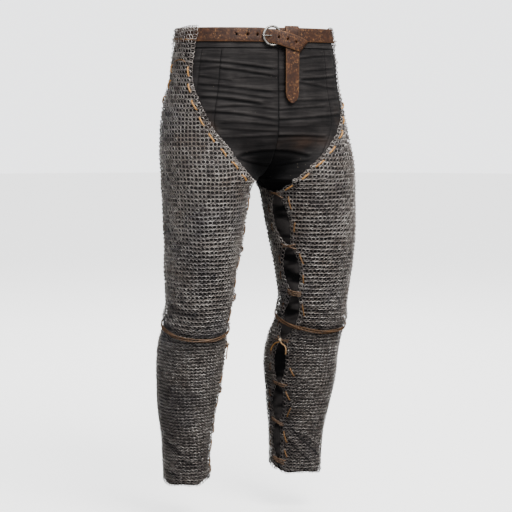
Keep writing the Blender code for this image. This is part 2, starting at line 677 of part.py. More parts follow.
def make_garters():
    """A narrow band of wound thong below each knee, on the mail."""
    columns = 28
    inner_lift = MAIL_TIED + 0.0008
    for side_name, side in SIDES:
        outside, inside = [], []
        for half in (GARTER_HEIGHT / 2, -GARTER_HEIGHT / 2):
            rows = ([], [])
            for j in range(columns):
                t = j / columns
                z = GARTER_Z + garter_offset(t) + half
                rows[0].append(side_point(z, t, inner_lift + GARTER_THICK, side))
                rows[1].append(side_point(z, t, inner_lift, side))
            outside.append(rows[0])
            inside.append(rows[1])
        wall(f"garter_{side_name}", outside, inside, "garter", ring=True, flipped=side < 0)


def tie_strand(name, z, side, lean):
    """One thong across the slot, from above one edge's eyelet to below the other's."""
    middle = table_at(SLOT, z)[0]
    reach = slot_half(z) + TIE_REACH
    lift = MAIL_OUTSIDE + SEAM_GAP + THONG_RADIUS
    points = []
    for share in (-1.0, 0.0, 1.0):
        t = middle + share * reach / speed(z, middle)
        height = z + lean * TIE_SPREAD * share
        points.append(side_point(height, t, lift + (TIE_RISE + 0.0002 * lean) * (1 - share ** 2), side))
    return add_tube(name, points, THONG_RADIUS, "thong")


def as_mesh(thing):
    """Turn a curve object into a welded mesh object of the same name."""
    name = thing.name
    bpy.context.view_layer.update()
    evaluated = thing.evaluated_get(bpy.context.evaluated_depsgraph_get())
    mesh = bpy.data.meshes.new_from_object(evaluated)
    shell = bmesh.new()
    shell.from_mesh(mesh)
    bmesh.ops.remove_doubles(shell, verts=shell.verts, dist=0.00001)
    shell.to_mesh(mesh)
    shell.free()
    bpy.data.objects.remove(thing, do_unlink=True)
    made = bpy.data.objects.new(name, mesh)
    bpy.data.collections["chainmail_leggings"].objects.link(made)
    return made


def join_to(body, other):
    """Unite another mesh with this one and hide it among the cutters."""
    bpy.data.collections["chainmail_leggings"].objects.unlink(other)
    bpy.data.collections["cutters"].objects.link(other)
    other.hide_render = True
    other.display_type = "WIRE"
    union = body.modifiers.new(other.name, "BOOLEAN")
    union.operation = "UNION"
    union.object = other


def smooth_route(points, spacing):
    """Read points about a spacing apart from a smooth curve through a few."""
    ends = [2 * points[0] - points[1], *points, 2 * points[-1] - points[-2]]
    fine = []
    for before, here, there, after in zip(ends, ends[1:], ends[2:], ends[3:]):
        for i in range(8):
            s = i / 8
            fine.append(0.5 * (2 * here + (there - before) * s
                               + (2 * before - 5 * here + 4 * there - after) * s ** 2
                               + (3 * here - before - 3 * there + after) * s ** 3))
    fine.append(points[-1])
    distance = [0.0]
    for near, far in zip(fine, fine[1:]):
        distance.append(distance[-1] + (far - near).length)
    count = max(2, round(distance[-1] / spacing))
    route = []
    for k in range(count + 1):
        wanted = distance[-1] * k / count
        i = next(i for i in range(len(fine) - 1) if distance[i + 1] >= wanted - 1e-9)
        share = (wanted - distance[i]) / (distance[i + 1] - distance[i])
        route.append(fine[i].lerp(fine[i + 1], share))
    return route


def free_end_route(end, side):
    """The way of one loose lace end from the bow down over the mail."""
    tie = TIES[BOW_TIE]
    middle = table_at(SLOT, tie)[0]
    points = [side_point(tie - drop, middle + across / speed(tie, middle), lift, side)
              for drop, across, lift in end.points]
    return smooth_route(points, FREE_END_STEP)


def make_ties():
    """Two thongs crossed over the slot at each tie, with a knot and two free ends at the bow."""
    for side_name, side in SIDES:
        for i, z in enumerate(TIES):
            name = f"lace_bow_{side_name}" if i == BOW_TIE else f"lace_{i}_{side_name}"
            down = as_mesh(tie_strand(name, z, side, -1))
            up = as_mesh(tie_strand(f"{name}_strand", z, side, 1))
            join_to(down, up)
            if i == BOW_TIE:
                middle = table_at(SLOT, z)[0]
                bpy.ops.mesh.primitive_uv_sphere_add(segments=8, ring_count=6, radius=0.0030,
                                                     location=side_point(z, middle, 0.0082, side))
                knot = bpy.context.object
                knot.name = f"{name}_knot"
                for collection in list(knot.users_collection):
                    collection.objects.unlink(knot)
                bpy.data.collections["chainmail_leggings"].objects.link(knot)
                join_to(down, knot)
        for end in FREE_ENDS:
            add_tube(f"lace_end_{end.name}_{side_name}", free_end_route(end, side), THONG_RADIUS, "thong",
                     resolution=2)


def make_materials():
    """One Principled BSDF material for each finish."""
    for name, (colour, roughness, metallic) in MATERIALS.items():
        material = bpy.data.materials.new(name)
        material.use_nodes = True
        shader = material.node_tree.nodes["Principled BSDF"]
        shader.inputs["Base Color"].default_value = (*colour, 1.0)
        shader.inputs["Roughness"].default_value = roughness
        shader.inputs["Metallic"].default_value = metallic
        material.diffuse_color = (*colour, 1.0)


def main():
    """Build the leggings."""
    clear_scene()
    for name in ("chainmail_leggings", "cutters"):
        collection = bpy.data.collections.new(name)
        bpy.context.scene.collection.children.link(collection)
    make_materials()
    make_trousers()
    make_mail()
    make_belt()
    make_buckle()
    make_garters()
    make_ties()


main()
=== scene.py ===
"""Looks of the chainmail leggings: linked rings, creased black trousers, scuffed belt, thongs and buckle.

Metres, +Z up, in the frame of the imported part. The origin is the middle of the waist at the belt's height,
the front faces -Y and the wearer's right side is at -X.
"""
import logging
import math
import random
from bisect import bisect_right
from collections.abc import Callable, Iterable, Sequence
from dataclasses import dataclass, field
from enum import Enum
from functools import lru_cache
from typing import NamedTuple

import bmesh
import bpy
from mathutils import Matrix, Quaternion, Vector, noise


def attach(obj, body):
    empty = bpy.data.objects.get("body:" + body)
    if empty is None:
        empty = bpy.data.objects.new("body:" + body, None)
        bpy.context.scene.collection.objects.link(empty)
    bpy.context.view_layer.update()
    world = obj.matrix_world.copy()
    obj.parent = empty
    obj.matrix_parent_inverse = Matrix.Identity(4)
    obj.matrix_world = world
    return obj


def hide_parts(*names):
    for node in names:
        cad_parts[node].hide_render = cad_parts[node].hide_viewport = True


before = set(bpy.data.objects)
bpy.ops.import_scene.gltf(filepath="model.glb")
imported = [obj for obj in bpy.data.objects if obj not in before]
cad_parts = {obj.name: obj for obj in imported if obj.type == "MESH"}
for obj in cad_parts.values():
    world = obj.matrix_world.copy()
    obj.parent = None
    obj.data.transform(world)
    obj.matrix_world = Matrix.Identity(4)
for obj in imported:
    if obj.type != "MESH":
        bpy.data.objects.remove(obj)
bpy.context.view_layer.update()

log = logging.getLogger("leggings")

# Short names of types
Material = bpy.types.Material
Thing = bpy.types.Object
Shape = bmesh.types.BMesh
Socket = bpy.types.NodeSocket
Colour = tuple[float, float, float, float]
Source = Socket | Colour | float
Pair = tuple[float, float]
Triple = tuple[float, float, float]

# Driving sizes of the garment
HEM_Z = -0.926
CROTCH_Z = -0.290
HIP_Z = -0.165
TRUNK_FULLNESS = 2.3
INSEAM_REACH = 0.24
CLOTH = 0.0018
UNDER_MAIL = 0.0010
UNDER_REACH = 0.016
WAISTBAND_TOP = 0.0115
WAISTBAND_BOTTOM = -0.0275
TROUSER_TOP = -0.0278
TROUSER_HEM_Z = -0.918
MAIL_OUTSIDE = 0.0046
MAIL_TIED = 0.0038
BLOUSE = 0.0035
BLOUSE_ABOVE = 0.016
BLOUSE_REACH = 0.015
BELT_WIDTH = 0.028
BELT_THICK = 0.0030
BELT_LIFT = 0.0026
GARTER_Z = -0.590
GARTER_DIP = 0.0175
GARTER_FRONT = 0.27
GARTER_HALF_TIED = 0.0045
TIE_REACH = 0.008
TIE_SPREAD = 0.0042
LACED_HALF = 0.0035
LENS_POWER = 0.7
LAST_LENS_BELOW = 0.02
TIED_FADE = 0.006
MIDDLE_REACH = 0.0003
BELT_OVER_END = 0.0055

# A crease's section, in shares of its reach
RIDGE_AWAY = 1.7
RIDGE_WIDTH = 1.1
CREASE_END = 5
CREASE_FADE = 4.0


def table(kind: type, *rows: tuple[float, ...]) -> tuple:
    """Rows of one kind, from their numbers."""
    return tuple(kind(*row) for row in rows)


class TrunkRow(NamedTuple):
    """The trunk's half width, front and back at a height."""

    z: float
    side: float
    front: float
    back: float


TRUNK = table(
    TrunkRow,
    (0.020, 0.1600, -0.1005, 0.1150), (0.000, 0.1625, -0.1010, 0.1165), (-0.030, 0.1700, -0.1015, 0.1190),
    (-0.060, 0.1755, -0.1020, 0.1215), (-0.090, 0.1795, -0.1025, 0.1240), (-0.120, 0.1850, -0.1030, 0.1250),
    (-0.150, 0.1925, -0.1035, 0.1225), (-0.180, 0.1980, -0.1040, 0.1180), (-0.210, 0.2025, -0.1040, 0.1120),
    (-0.240, 0.2055, -0.1040, 0.1060), (-0.270, 0.2065, -0.1035, 0.1010), (-0.290, 0.2065, -0.1030, 0.0980),
)


class LegRow(NamedTuple):
    """One leg's inner, outer, front and back reach at a height, and how far its front is turned outwards."""

    z: float
    inner: float
    outer: float
    front: float
    back: float
    turn: float


LEG = table(
    LegRow,
    (-0.165, 0.0000, 0.1955, -0.1060, 0.1200, 0.100), (-0.200, 0.0000, 0.2010, -0.1065, 0.1140, 0.120),
    (-0.245, 0.0000, 0.2055, -0.1070, 0.1080, 0.140), (-0.290, 0.0000, 0.2054, -0.1080, 0.1030, 0.155),
    (-0.294, 0.0110, 0.2053, -0.1080, 0.1025, 0.155), (-0.300, 0.0190, 0.2052, -0.1081, 0.1017, 0.156),
    (-0.315, 0.0280, 0.2048, -0.1083, 0.0993, 0.160), (-0.348, 0.0330, 0.2040, -0.1085, 0.0945, 0.165),
    (-0.388, 0.0400, 0.2035, -0.1070, 0.0895, 0.180), (-0.428, 0.0475, 0.2025, -0.1025, 0.0825, 0.170),
    (-0.468, 0.0550, 0.2020, -0.0940, 0.0765, 0.130), (-0.508, 0.0605, 0.1995, -0.0850, 0.0710, 0.090),
    (-0.548, 0.0655, 0.1965, -0.0770, 0.0700, 0.090), (-0.588, 0.0675, 0.1985, -0.0650, 0.0860, 0.130),
    (-0.628, 0.0625, 0.1990, -0.0460, 0.1110, 0.130), (-0.668, 0.0600, 0.1975, -0.0350, 0.1250, 0.140),
    (-0.708, 0.0630, 0.1960, -0.0275, 0.1300, 0.165), (-0.748, 0.0690, 0.1925, -0.0165, 0.1315, 0.175),
    (-0.788, 0.0735, 0.1865, -0.0050, 0.1315, 0.180), (-0.828, 0.0780, 0.1800, 0.0050, 0.1290, 0.180),
    (-0.868, 0.0810, 0.1765, 0.0110, 0.1295, 0.190), (-0.935, 0.0830, 0.1740, 0.0140, 0.1280, 0.190),
)


class EdgeRow(NamedTuple):
    """Where the mail's edges lie, as shares of the way from the centre front to the centre back."""

    z: float
    right_front: float
    left_front: float
    back: float


MAIL_EDGE = table(
    EdgeRow,
    (0.020, 0.356, 0.392, 0.575), (-0.012, 0.357, 0.392, 0.570), (-0.040, 0.360, 0.394, 0.555),
    (-0.068, 0.357, 0.394, 0.540), (-0.098, 0.342, 0.390, 0.542), (-0.122, 0.309, 0.372, 0.585),
    (-0.145, 0.275, 0.336, 0.640), (-0.165, 0.246, 0.301, 0.695), (-0.189, 0.225, 0.267, 0.732),
    (-0.215, 0.206, 0.243, 0.757), (-0.234, 0.202, 0.227, 0.776), (-0.253, 0.199, 0.206, 0.797),
    (-0.275, 0.180, 0.183, 0.822), (-0.293, 0.140, 0.146, 0.860), (-0.304, 0.104, 0.108, 0.930),
    (-0.311, 0.082, 0.085, 0.985), (-0.3175, 0.060, 0.060, 1.042),
)
SLOT_TOP = MAIL_EDGE[-1].z


class SlotRow(NamedTuple):
    """The middle of the laced slot at a height, as a share round the leg."""

    z: float
    middle: float


SLOT = table(
    SlotRow,
    (-0.3175, 0.051), (-0.345, 0.056), (-0.400, 0.062), (-0.430, 0.076), (-0.485, 0.070), (-0.530, 0.078),
    (-0.580, 0.068), (-0.630, 0.066), (-0.680, 0.070), (-0.730, 0.068), (-0.770, 0.054), (-0.810, 0.052),
    (-0.860, 0.036), (-0.900, 0.052), (-0.930, 0.055),
)


class HemRow(NamedTuple):
    """How low the mail hangs at a share of the way round, on each side."""

    share: float
    right: float
    left: float


HEM = table(
    HemRow,
    (0.00, -0.9205, -0.9215), (0.06, -0.9190, -0.9250), (0.115, -0.9180, -0.9280),
    (0.17, -0.9175, -0.9250), (0.24, -0.9250, -0.9232), (0.36, -0.9222, -0.9285),
    (0.49, -0.9282, -0.9255), (0.58, -0.9225, -0.9240), (0.75, -0.9265, -0.9275),
    (0.88, -0.9215, -0.9200), (0.95, -0.9230, -0.9155), (1.00, -0.9205, -0.9215),
)
TIES = (-0.3197, -0.4283, -0.5271, -0.6321, -0.7278, -0.8148, -0.9008)
BOW_TIE = 3
OPEN_HALF = (0.024, 0.024, 0.021, 0.018, 0.018, 0.015, 0.006)


class BeltRow(NamedTuple):
    """A section of the belt: upper and lower edge (x, z), lift, and turn about its length in degrees."""

    x1: float
    z1: float
    x2: float
    z2: float
    lift: float
    turn: float


def upright(x: float, lift: float) -> BeltRow:
    """A section that stands square across the belt at x."""
    return BeltRow(x, BELT_WIDTH / 2, x, -BELT_WIDTH / 2, lift, 0)


BELT_START = (
    upright(-0.0030, BELT_LIFT), upright(0.0062, BELT_LIFT), upright(0.0108, BELT_OVER_END),
    upright(0.0250, BELT_OVER_END), upright(0.0400, BELT_OVER_END), upright(0.0540, BELT_OVER_END),
    upright(0.0660, 0.0053), upright(0.0760, BELT_LIFT),
)
BELT_KNOT = (
    upright(-0.0900, BELT_LIFT), upright(-0.0650, BELT_LIFT), upright(-0.0450, BELT_LIFT),
    *table(
        BeltRow,
        (-0.0330, 0.0134, -0.0330, -0.0145, BELT_LIFT, 0),
        (-0.0240, 0.0108, -0.0240, -0.0154, 0.0029, 0),
        (-0.0160, 0.0104, -0.0162, -0.0168, 0.0063, 0),
        (-0.0074, 0.0092, -0.0080, -0.0189, 0.0098, 0),
        (0.0040, 0.0073, 0.0002, -0.0212, 0.0107, 0),
        (0.0125, 0.0052, 0.0072, -0.0236, 0.0121, 0),
        (0.0229, 0.0024, 0.0160, -0.0264, 0.0123, 0),
        (0.0443, -0.0047, 0.0300, -0.0306, 0.0121, 0),
        (0.0600, -0.0122, 0.0404, -0.0334, 0.0110, 0),
        (0.0625, -0.0147, 0.0429, -0.0359, 0.0071, 90),
        (0.0605, -0.0127, 0.0409, -0.0339, 0.0025, 180),
        (0.0540, -0.0020, 0.0300, -0.0160, 0.0024, 180),
        (0.0440, 0.0125, 0.0125, 0.0125, 0.0023, 180),
        (0.0430, 0.0163, 0.0118, 0.0163, 0.0055, 270),
        (0.0425, 0.0125, 0.0118, 0.0125, 0.0088, 360),
        (0.0420, -0.0140, 0.0120, -0.0140, 0.0088, 360),
        (0.0418, -0.0500, 0.0122, -0.0500, 0.0086, 360),
        (0.0418, -0.0850, 0.0124, -0.0850, 0.0076, 360),
        (0.0416, -0.1150, 0.0126, -0.1150, 0.0068, 360),
        (0.0398, -0.1240, 0.0144, -0.1240, 0.0066, 360),
        (0.0352, -0.1308, 0.0190, -0.1308, 0.0065, 360),
        (0.0298, -0.1348, 0.0244, -0.1348, 0.0064, 360),
    ),
)


class Crease(NamedTuple):
    """A soft trough of a sheet: its share and height at the start, middle height, end, depth and reach."""

    start: float
    start_z: float
    middle_z: float
    end: float
    end_z: float
    depth: float
    reach: float


RIGHT_CREASES = table(
    Crease,
    (0.00, -0.0700, -0.0575, 0.35, -0.0525, 0.0022, 0.0034),
    (0.21, -0.0645, -0.0675, 0.32, -0.0705, 0.0013, 0.0026),
    (0.00, -0.0835, -0.0735, 0.22, -0.0675, 0.0022, 0.0034),
    (0.16, -0.0915, -0.0870, 0.32, -0.0825, 0.0016, 0.0030),
    (0.04, -0.0850, -0.0855, 0.14, -0.0865, 0.0010, 0.0024),
    (0.00, -0.1150, -0.1045, 0.32, -0.0985, 0.0018, 0.0034),
    (0.01, -0.1275, -0.1160, 0.31, -0.1095, 0.0016, 0.0030),
    (0.04, -0.1390, -0.1280, 0.30, -0.1245, 0.0028, 0.0042),
    (0.00, -0.1485, -0.1420, 0.22, -0.1445, 0.0018, 0.0032),
    (0.00, -0.1705, -0.1570, 0.27, -0.1535, 0.0022, 0.0038),
    (0.00, -0.1815, -0.1755, 0.20, -0.1750, 0.0016, 0.0034),
    (0.00, -0.1925, -0.1890, 0.20, -0.1855, 0.0013, 0.0030),
    (0.00, -0.2015, -0.2040, 0.21, -0.2055, 0.0015, 0.0034),
    (-0.05, -0.2300, -0.2345, 0.19, -0.2425, 0.0028, 0.0044),
    (-0.05, -0.2630, -0.2585, 0.18, -0.2445, 0.0022, 0.0040),
)
LEFT_CREASES = table(
    Crease,
    (0.05, -0.0500, -0.0420, 0.34, -0.0430, 0.0017, 0.0030),
    (0.08, -0.0730, -0.0690, 0.32, -0.0645, 0.0014, 0.0028),
    (0.07, -0.0890, -0.0860, 0.34, -0.0805, 0.0026, 0.0036),
    (0.06, -0.0935, -0.1050, 0.36, -0.1060, 0.0018, 0.0032),
    (0.04, -0.1315, -0.1305, 0.34, -0.1255, 0.0018, 0.0034),
    (-0.02, -0.1500, -0.1465, 0.19, -0.1435, 0.0015, 0.0030),
    (-0.02, -0.1695, -0.1645, 0.30, -0.1595, 0.0020, 0.0036),
    (-0.02, -0.1010, -0.0980, 0.05, -0.0930, 0.0012, 0.0026),
    (-0.02, -0.1150, -0.1120, 0.05, -0.1070, 0.0012, 0.0026),
    (-0.03, -0.1845, -0.1840, 0.10, -0.1840, 0.0013, 0.0030),
    (-0.02, -0.2015, -0.2030, 0.20, -0.2055, 0.0027, 0.0038),
    (0.02, -0.2100, -0.2115, 0.21, -0.2135, 0.0010, 0.0026),
    (-0.03, -0.2300, -0.2360, 0.17, -0.2440, 0.0028, 0.0044),
    (0.03, -0.2620, -0.2580, 0.18, -0.2505, 0.0020, 0.0036),
)
SEAT_CREASES = table(
    Crease,
    (0.60, -0.0480, -0.0560, 0.86, -0.0610, 0.0016, 0.0034),
    (0.74, -0.0780, -0.0800, 1.04, -0.0720, 0.0020, 0.0038),
    (0.62, -0.0950, -0.1060, 0.90, -0.1090, 0.0022, 0.0040),
    (0.80, -0.1240, -0.1290, 1.03, -0.1330, 0.0015, 0.0034),
    (0.70, -0.1430, -0.1540, 0.97, -0.1560, 0.0020, 0.0040),
    (0.78, -0.1760, -0.1800, 1.04, -0.1730, 0.0016, 0.0034),
    (0.74, -0.1890, -0.2010, 0.98, -0.2060, 0.0023, 0.0042),
    (0.82, -0.2220, -0.2300, 1.04, -0.2260, 0.0020, 0.0038),
    (0.80, -0.2420, -0.2520, 1.03, -0.2600, 0.0024, 0.0044),
)
RIGHT_MAIL_FOLDS = table(
    Crease,
    (0.29, -0.8590, -0.8480, 0.54, -0.8180, 0.0013, 0.0058),
    (0.25, -0.8840, -0.8750, 0.39, -0.8650, 0.0012, 0.0052),
    (0.38, -0.9030, -0.9010, 0.57, -0.8950, 0.0011, 0.0052),
    (0.28, -0.5440, -0.5520, 0.50, -0.5380, 0.0009, 0.0064),
)
LEFT_MAIL_FOLDS = table(
    Crease,
    (0.13, -0.8260, -0.8620, 0.37, -0.8980, 0.0013, 0.0056),
    (0.11, -0.8480, -0.8740, 0.27, -0.9030, 0.0012, 0.0052),
    (0.18, -0.8320, -0.8530, 0.34, -0.8760, 0.0011, 0.0050),
    (0.12, -0.5560, -0.5640, 0.31, -0.5580, 0.0009, 0.0064),
)
BACK_MAIL_FOLDS = table(
    Crease,
    (0.60, -0.8480, -0.8640, 0.84, -0.8570, 0.0013, 0.0058),
    (0.66, -0.8850, -0.8930, 0.92, -0.8790, 0.0011, 0.0052),
    (0.61, -0.5180, -0.5300, 0.88, -0.5220, 0.0012, 0.0066),
    (0.64, -0.6420, -0.6500, 0.87, -0.6380, 0.0010, 0.0060),
)


class Side(Enum):
    """The wearer's two sides, with the sign of x on each."""

    RIGHT = -1
    LEFT = 1

    @property
    def word(self) -> str:
        """The side's name in the names of nodes."""
        return self.name.lower()


CREASES = {Side.RIGHT: RIGHT_CREASES + SEAT_CREASES, Side.LEFT: LEFT_CREASES + SEAT_CREASES}
MAIL_FOLDS = {Side.RIGHT: RIGHT_MAIL_FOLDS + BACK_MAIL_FOLDS, Side.LEFT: LEFT_MAIL_FOLDS + BACK_MAIL_FOLDS}
TABLES = {"trunk": TRUNK, "leg": LEG, "edge": MAIL_EDGE, "slot": SLOT}


@lru_cache(maxsize=None)
def table_at(name: str, z: float) -> tuple[float, ...]:
    """Read a table at a height, on a smooth curve through its rows.

    Args:
        name: The table's name.
        z: The height.

    Returns:
        The values of the table's columns after the height.
    """
    rows = TABLES[name]
    if z >= rows[0].z:
        return tuple(rows[0][1:])
    if z <= rows[-1].z:
        return tuple(rows[-1][1:])
    low = next(i for i in range(len(rows) - 1) if rows[i + 1].z <= z)
    span = rows[low + 1].z - rows[low].z
    s = (z - rows[low].z) / span
    values = []
    for column in range(1, len(rows[0])):
        slopes = []
        for i in (low, low + 1):
            above, below = rows[max(i - 1, 0)], rows[min(i + 1, len(rows) - 1)]
            slopes.append((below[column] - above[column]) / (below.z - above.z) * span)
        here, there = rows[low][column], rows[low + 1][column]
        values.append((2 * s ** 3 - 3 * s ** 2 + 1) * here + (s ** 3 - 2 * s ** 2 + s) * slopes[0]
                      + (3 * s ** 2 - 2 * s ** 3) * there + (s ** 3 - s ** 2) * slopes[1])
    return tuple(values)


def eased(share: float) -> float:
    """A share from 0 to 1 that starts and ends gently."""
    return share * share * (3 - 2 * share)


def clamped(value: float) -> float:
    """A value held between 0 and 1."""
    return min(max(value, 0.0), 1.0)


def rising(value: float, start: float, reach: float) -> float:
    """How far a value is through a stretch, from 0 at its start to 1; a reach below 0 runs downwards."""
    return clamped((value - start) / reach)


def bell(distance: float, reach: float) -> float:
    """A soft hump of height 1 that falls away over a reach."""
    return math.exp(-(distance / reach) ** 2)


def through_three(start: float, middle: float, end: float, share: float) -> float:
    """A point of the smooth curve through three values, which lie at the shares 0, 1/2 and 1."""
    return (start * (1 - share) * (1 - 2 * share) + 4 * middle * share * (1 - share)
            + end * share * (2 * share - 1))


def waves(place: Vector, *layers: Pair) -> float:
    """Smooth noise at a place, in layers that each have a height and a fineness."""
    return sum(height * noise.noise(place * fineness) for height, fineness in layers)


def trunk_curve(z: float, t: float) -> Pair:
    """The trunk's outline at a height: t is 0 at the centre front and 1 at the centre back.

    Args:
        z: The height.
        t: The share of the way round.

    Returns:
        The place across and the depth.
    """
    side, front, back = table_at("trunk", z)
    power = 2 / TRUNK_FULLNESS
    sine, cosine = math.sin(math.pi * t), math.cos(math.pi * t)
    across = side * math.copysign(abs(sine) ** power, sine)
    return across, (front + back) / 2 - (back - front) / 2 * math.copysign(abs(cosine) ** power, cosine)


def leg_curve(z: float, t: float) -> Pair:
    """One leg's outline at a height: t is 0 and 1 at the inseam and 0.5 at the outer side."""
    inner, outer, front, back, turn = table_at("leg", z)
    angle = math.pi * (1 + 2 * t)
    across, depth = (outer - inner) / 2 * math.cos(angle), (back - front) / 2 * math.sin(angle)
    return (inner + outer) / 2 + across, (front + back) / 2 + depth - turn * across


def form_point(z: float, t: float) -> Vector:
    """A point of the outline, which closes from the trunk into a leg between hip and crotch.

    Args:
        z: The height.
        t: The share of the way round.

    Returns:
        The point on the wearer's left side.
    """
    if z <= CROTCH_Z:
        return Vector((*leg_curve(z, t % 1.0), z))
    if z >= HIP_Z:
        return Vector((*trunk_curve(z, t), z))
    fall = (HIP_Z - z) / (HIP_Z - CROTCH_Z)
    closed_at_inseam = 1 - math.sqrt(max(0.0, 1 - fall ** 2))
    outwards = eased(min(1.0, min(abs(t), abs(1 - t)) / INSEAM_REACH))
    closed = (1 - outwards) * closed_at_inseam + outwards * eased(fall)
    trunk, leg = trunk_curve(z, t), leg_curve(z, t)
    return Vector(((1 - closed) * trunk[0] + closed * leg[0], (1 - closed) * trunk[1] + closed * leg[1], z))


def along_row(z: float, t: float) -> Vector:
    """The outline's direction at a point, as metres for one whole t."""
    step = 0.001
    return (form_point(z, t + step) - form_point(z, t - step)) / (2 * step)


def normal(z: float, t: float) -> Vector:
    """The direction straight out of the form."""
    step = 0.010
    return along_row(z, t).cross(form_point(z + step, t) - form_point(z - step, t)).normalized()


def speed(z: float, t: float) -> float:
    """How many metres of the outline one whole t is worth here."""
    return along_row(z, t).length


def mirrored(vector: Vector, side: Side) -> Vector:
    """A vector of the wearer's left side, taken to the asked side."""
    return Vector((side.value * vector.x, vector.y, vector.z))


def swung(start: Vector, towards: Vector, angle: float) -> Vector:
    """A direction swung by an angle from one direction towards another that is square to it."""
    return start * math.cos(angle) + towards * math.sin(angle)


def side_point(z: float, t: float, lift: float, side: Side) -> Vector:
    """A point off the form on one side, never past the middle and never off it where the form is on it.

    Args:
        z: The height.
        t: The share of the way round.
        lift: How far the point stands off the form.
        side: The wearer's side.

    Returns:
        The point.
    """
    base = form_point(z, t)
    point = base + normal(z, t) * lift
    across = max(point.x, 0.0) if base.x > MIDDLE_REACH else 0.0
    return mirrored(Vector((across, point.y, point.z)), side)


def slot_half(z: float) -> float:
    """Half the width of the laced slot: wide between two ties and nearly closed at each.

    Args:
        z: The height.

    Returns:
        The half width.
    """
    below = [i for i, tie in enumerate(TIES) if z <= tie]
    if not below:
        return LACED_HALF
    lens = below[-1]
    bottom = TIES[lens + 1] if lens + 1 < len(TIES) else HEM_Z - LAST_LENS_BELOW
    share = clamped((z - TIES[lens]) / (bottom - TIES[lens]))
    return LACED_HALF + (OPEN_HALF[lens] - LACED_HALF) * math.sin(math.pi * share) ** LENS_POWER


def mail_span(z: float, side: Side) -> Pair:
    """Where the mail starts and ends at a height, from its front edge round to its back edge.

    Args:
        z: The height.
        side: The wearer's side.

    Returns:
        The two shares.
    """
    if z >= SLOT_TOP:
        right_front, left_front, back = table_at("edge", z)
        return (right_front if side is Side.RIGHT else left_front), back
    middle = table_at("slot", z)[0]
    half = slot_half(z) / speed(z, middle)
    return middle + half, 1 + middle - half


def garter_offset(t: float) -> float:
    """How far the garter's line lies above or below its mean height."""
    return -GARTER_DIP * math.cos(2 * math.pi * (t - GARTER_FRONT))


def hem_height(t: float, side: Side) -> float:
    """How low the mail hangs at a share of the way round."""
    share = t % 1.0
    near, far = next(pair for pair in zip(HEM, HEM[1:]) if share <= pair[1].share)
    column = 1 if side is Side.RIGHT else 2
    return near[column] + (far[column] - near[column]) * (share - near.share) / (far.share - near.share)


def tied_share(over_garter: float) -> float:
    """How tightly the mail is tied in at a height over the garter, from 0 to 1."""
    return bell(max(0.0, abs(over_garter) - GARTER_HALF_TIED), TIED_FADE)


def mail_outside(over_garter: float) -> float:
    """The lift of the mail's outer face, which is tied in at the garter and blouses over it."""
    tied = tied_share(over_garter)
    blouse = bell(over_garter - BLOUSE_ABOVE, BLOUSE_REACH)
    return MAIL_OUTSIDE - (MAIL_OUTSIDE - MAIL_TIED) * tied + BLOUSE * blouse * (1 - tied)


def share_at(x: float, z: float) -> float:
    """The share of the way round the trunk at which the front has a given x."""
    side = table_at("trunk", z)[0]
    return math.copysign(math.asin((abs(x) / side) ** (TRUNK_FULLNESS / 2)) / math.pi, x)


def front_point(x: float, z: float, lift: float) -> Vector:
    """A point in front of the trunk, at a given x and height."""
    t = share_at(x, z)
    return form_point(z, t) + normal(z, t) * lift


def facing_out(x: float, z: float, lift: float) -> Matrix:
    """The place and turn of a thing in front of the trunk that faces straight out of it."""
    out = normal(z, share_at(x, z))
    return Matrix.LocRotScale(front_point(x, z, lift), out.to_track_quat("Z", "Y"), None)


def crease_lift(creases: Iterable[Crease], z: float, t: float, reach: float, ridge: float) -> float:
    """How far a sheet sinks or rises in its creases at a point.

    Args:
        creases: The creases.
        z: The point's height.
        t: Its share of the way round.
        reach: The share of each crease's reach that is used.
        ridge: How high the ridge over a trough stands, as a share of its depth.

    Returns:
        The lift, below 0 in a trough.
    """
    total = 0.0
    for fold in creases:
        share = (t - fold.start) / (fold.end - fold.start)
        if not 0 < share < 1:
            continue
        line = through_three(fold.start_z, fold.middle_z, fold.end_z, share)
        off = (z - line) / (fold.reach * reach)
        if abs(off) > CREASE_END:
            continue
        fade = min(1.0, CREASE_FADE * math.sqrt(share * (1 - share)))
        total += fold.depth * fade * (ridge * bell(off - RIDGE_AWAY, RIDGE_WIDTH) - bell(off, 1.0))
    return total


def linear(red: int, green: int, blue: int) -> Colour:
    """A colour given as the eye names it, from 0 to 255, in the light values that a shader takes."""
    return (*((value / 255) ** 2.2 for value in (red, green, blue)), 1.0)


class Wiring:
    """A node tree with the few kinds of node that the finishes and the room use."""

    def __init__(self, tree: bpy.types.NodeTree) -> None:
        """Take a node tree, and the coordinates that its surface gives."""
        self.tree = tree
        self.coordinates = tree.nodes.new("ShaderNodeTexCoord").outputs

    def feed(self, socket: Socket, source: Source) -> None:
        """Give a socket its own value, or join it to the socket that feeds it."""
        if isinstance(source, Socket):
            self.tree.links.new(source, socket)
        else:
            socket.default_value = source

    def node(self, kind: str, *feeds: tuple[str | int, Source]) -> bpy.types.Node:
        """Add a shader node, given the names or numbers of its inputs with what feeds each."""
        node = self.tree.nodes.new(f"ShaderNode{kind}")
        for key, source in feeds:
            self.feed(node.inputs[key], source)
        return node

    def part(self, vector: Socket, number: int) -> Socket:
        """One of the three parts of a vector."""
        return self.node("SeparateXYZ", (0, vector)).outputs[number]

    def range(self, value: Socket, low: float, high: float, to_low: float, to_high: float) -> Socket:
        """A value's range laid over another range, held at both ends."""
        return self.node("MapRange", ("Value", value), ("From Min", low), ("From Max", high),
                         ("To Min", to_low), ("To Max", to_high)).outputs["Result"]

    def math(self, kind: str, first: Socket, second: Source) -> Socket:
        """Two values worked into one."""
        node = self.node("Math", (0, first), (1, second))
        node.operation = kind
        return node.outputs[0]


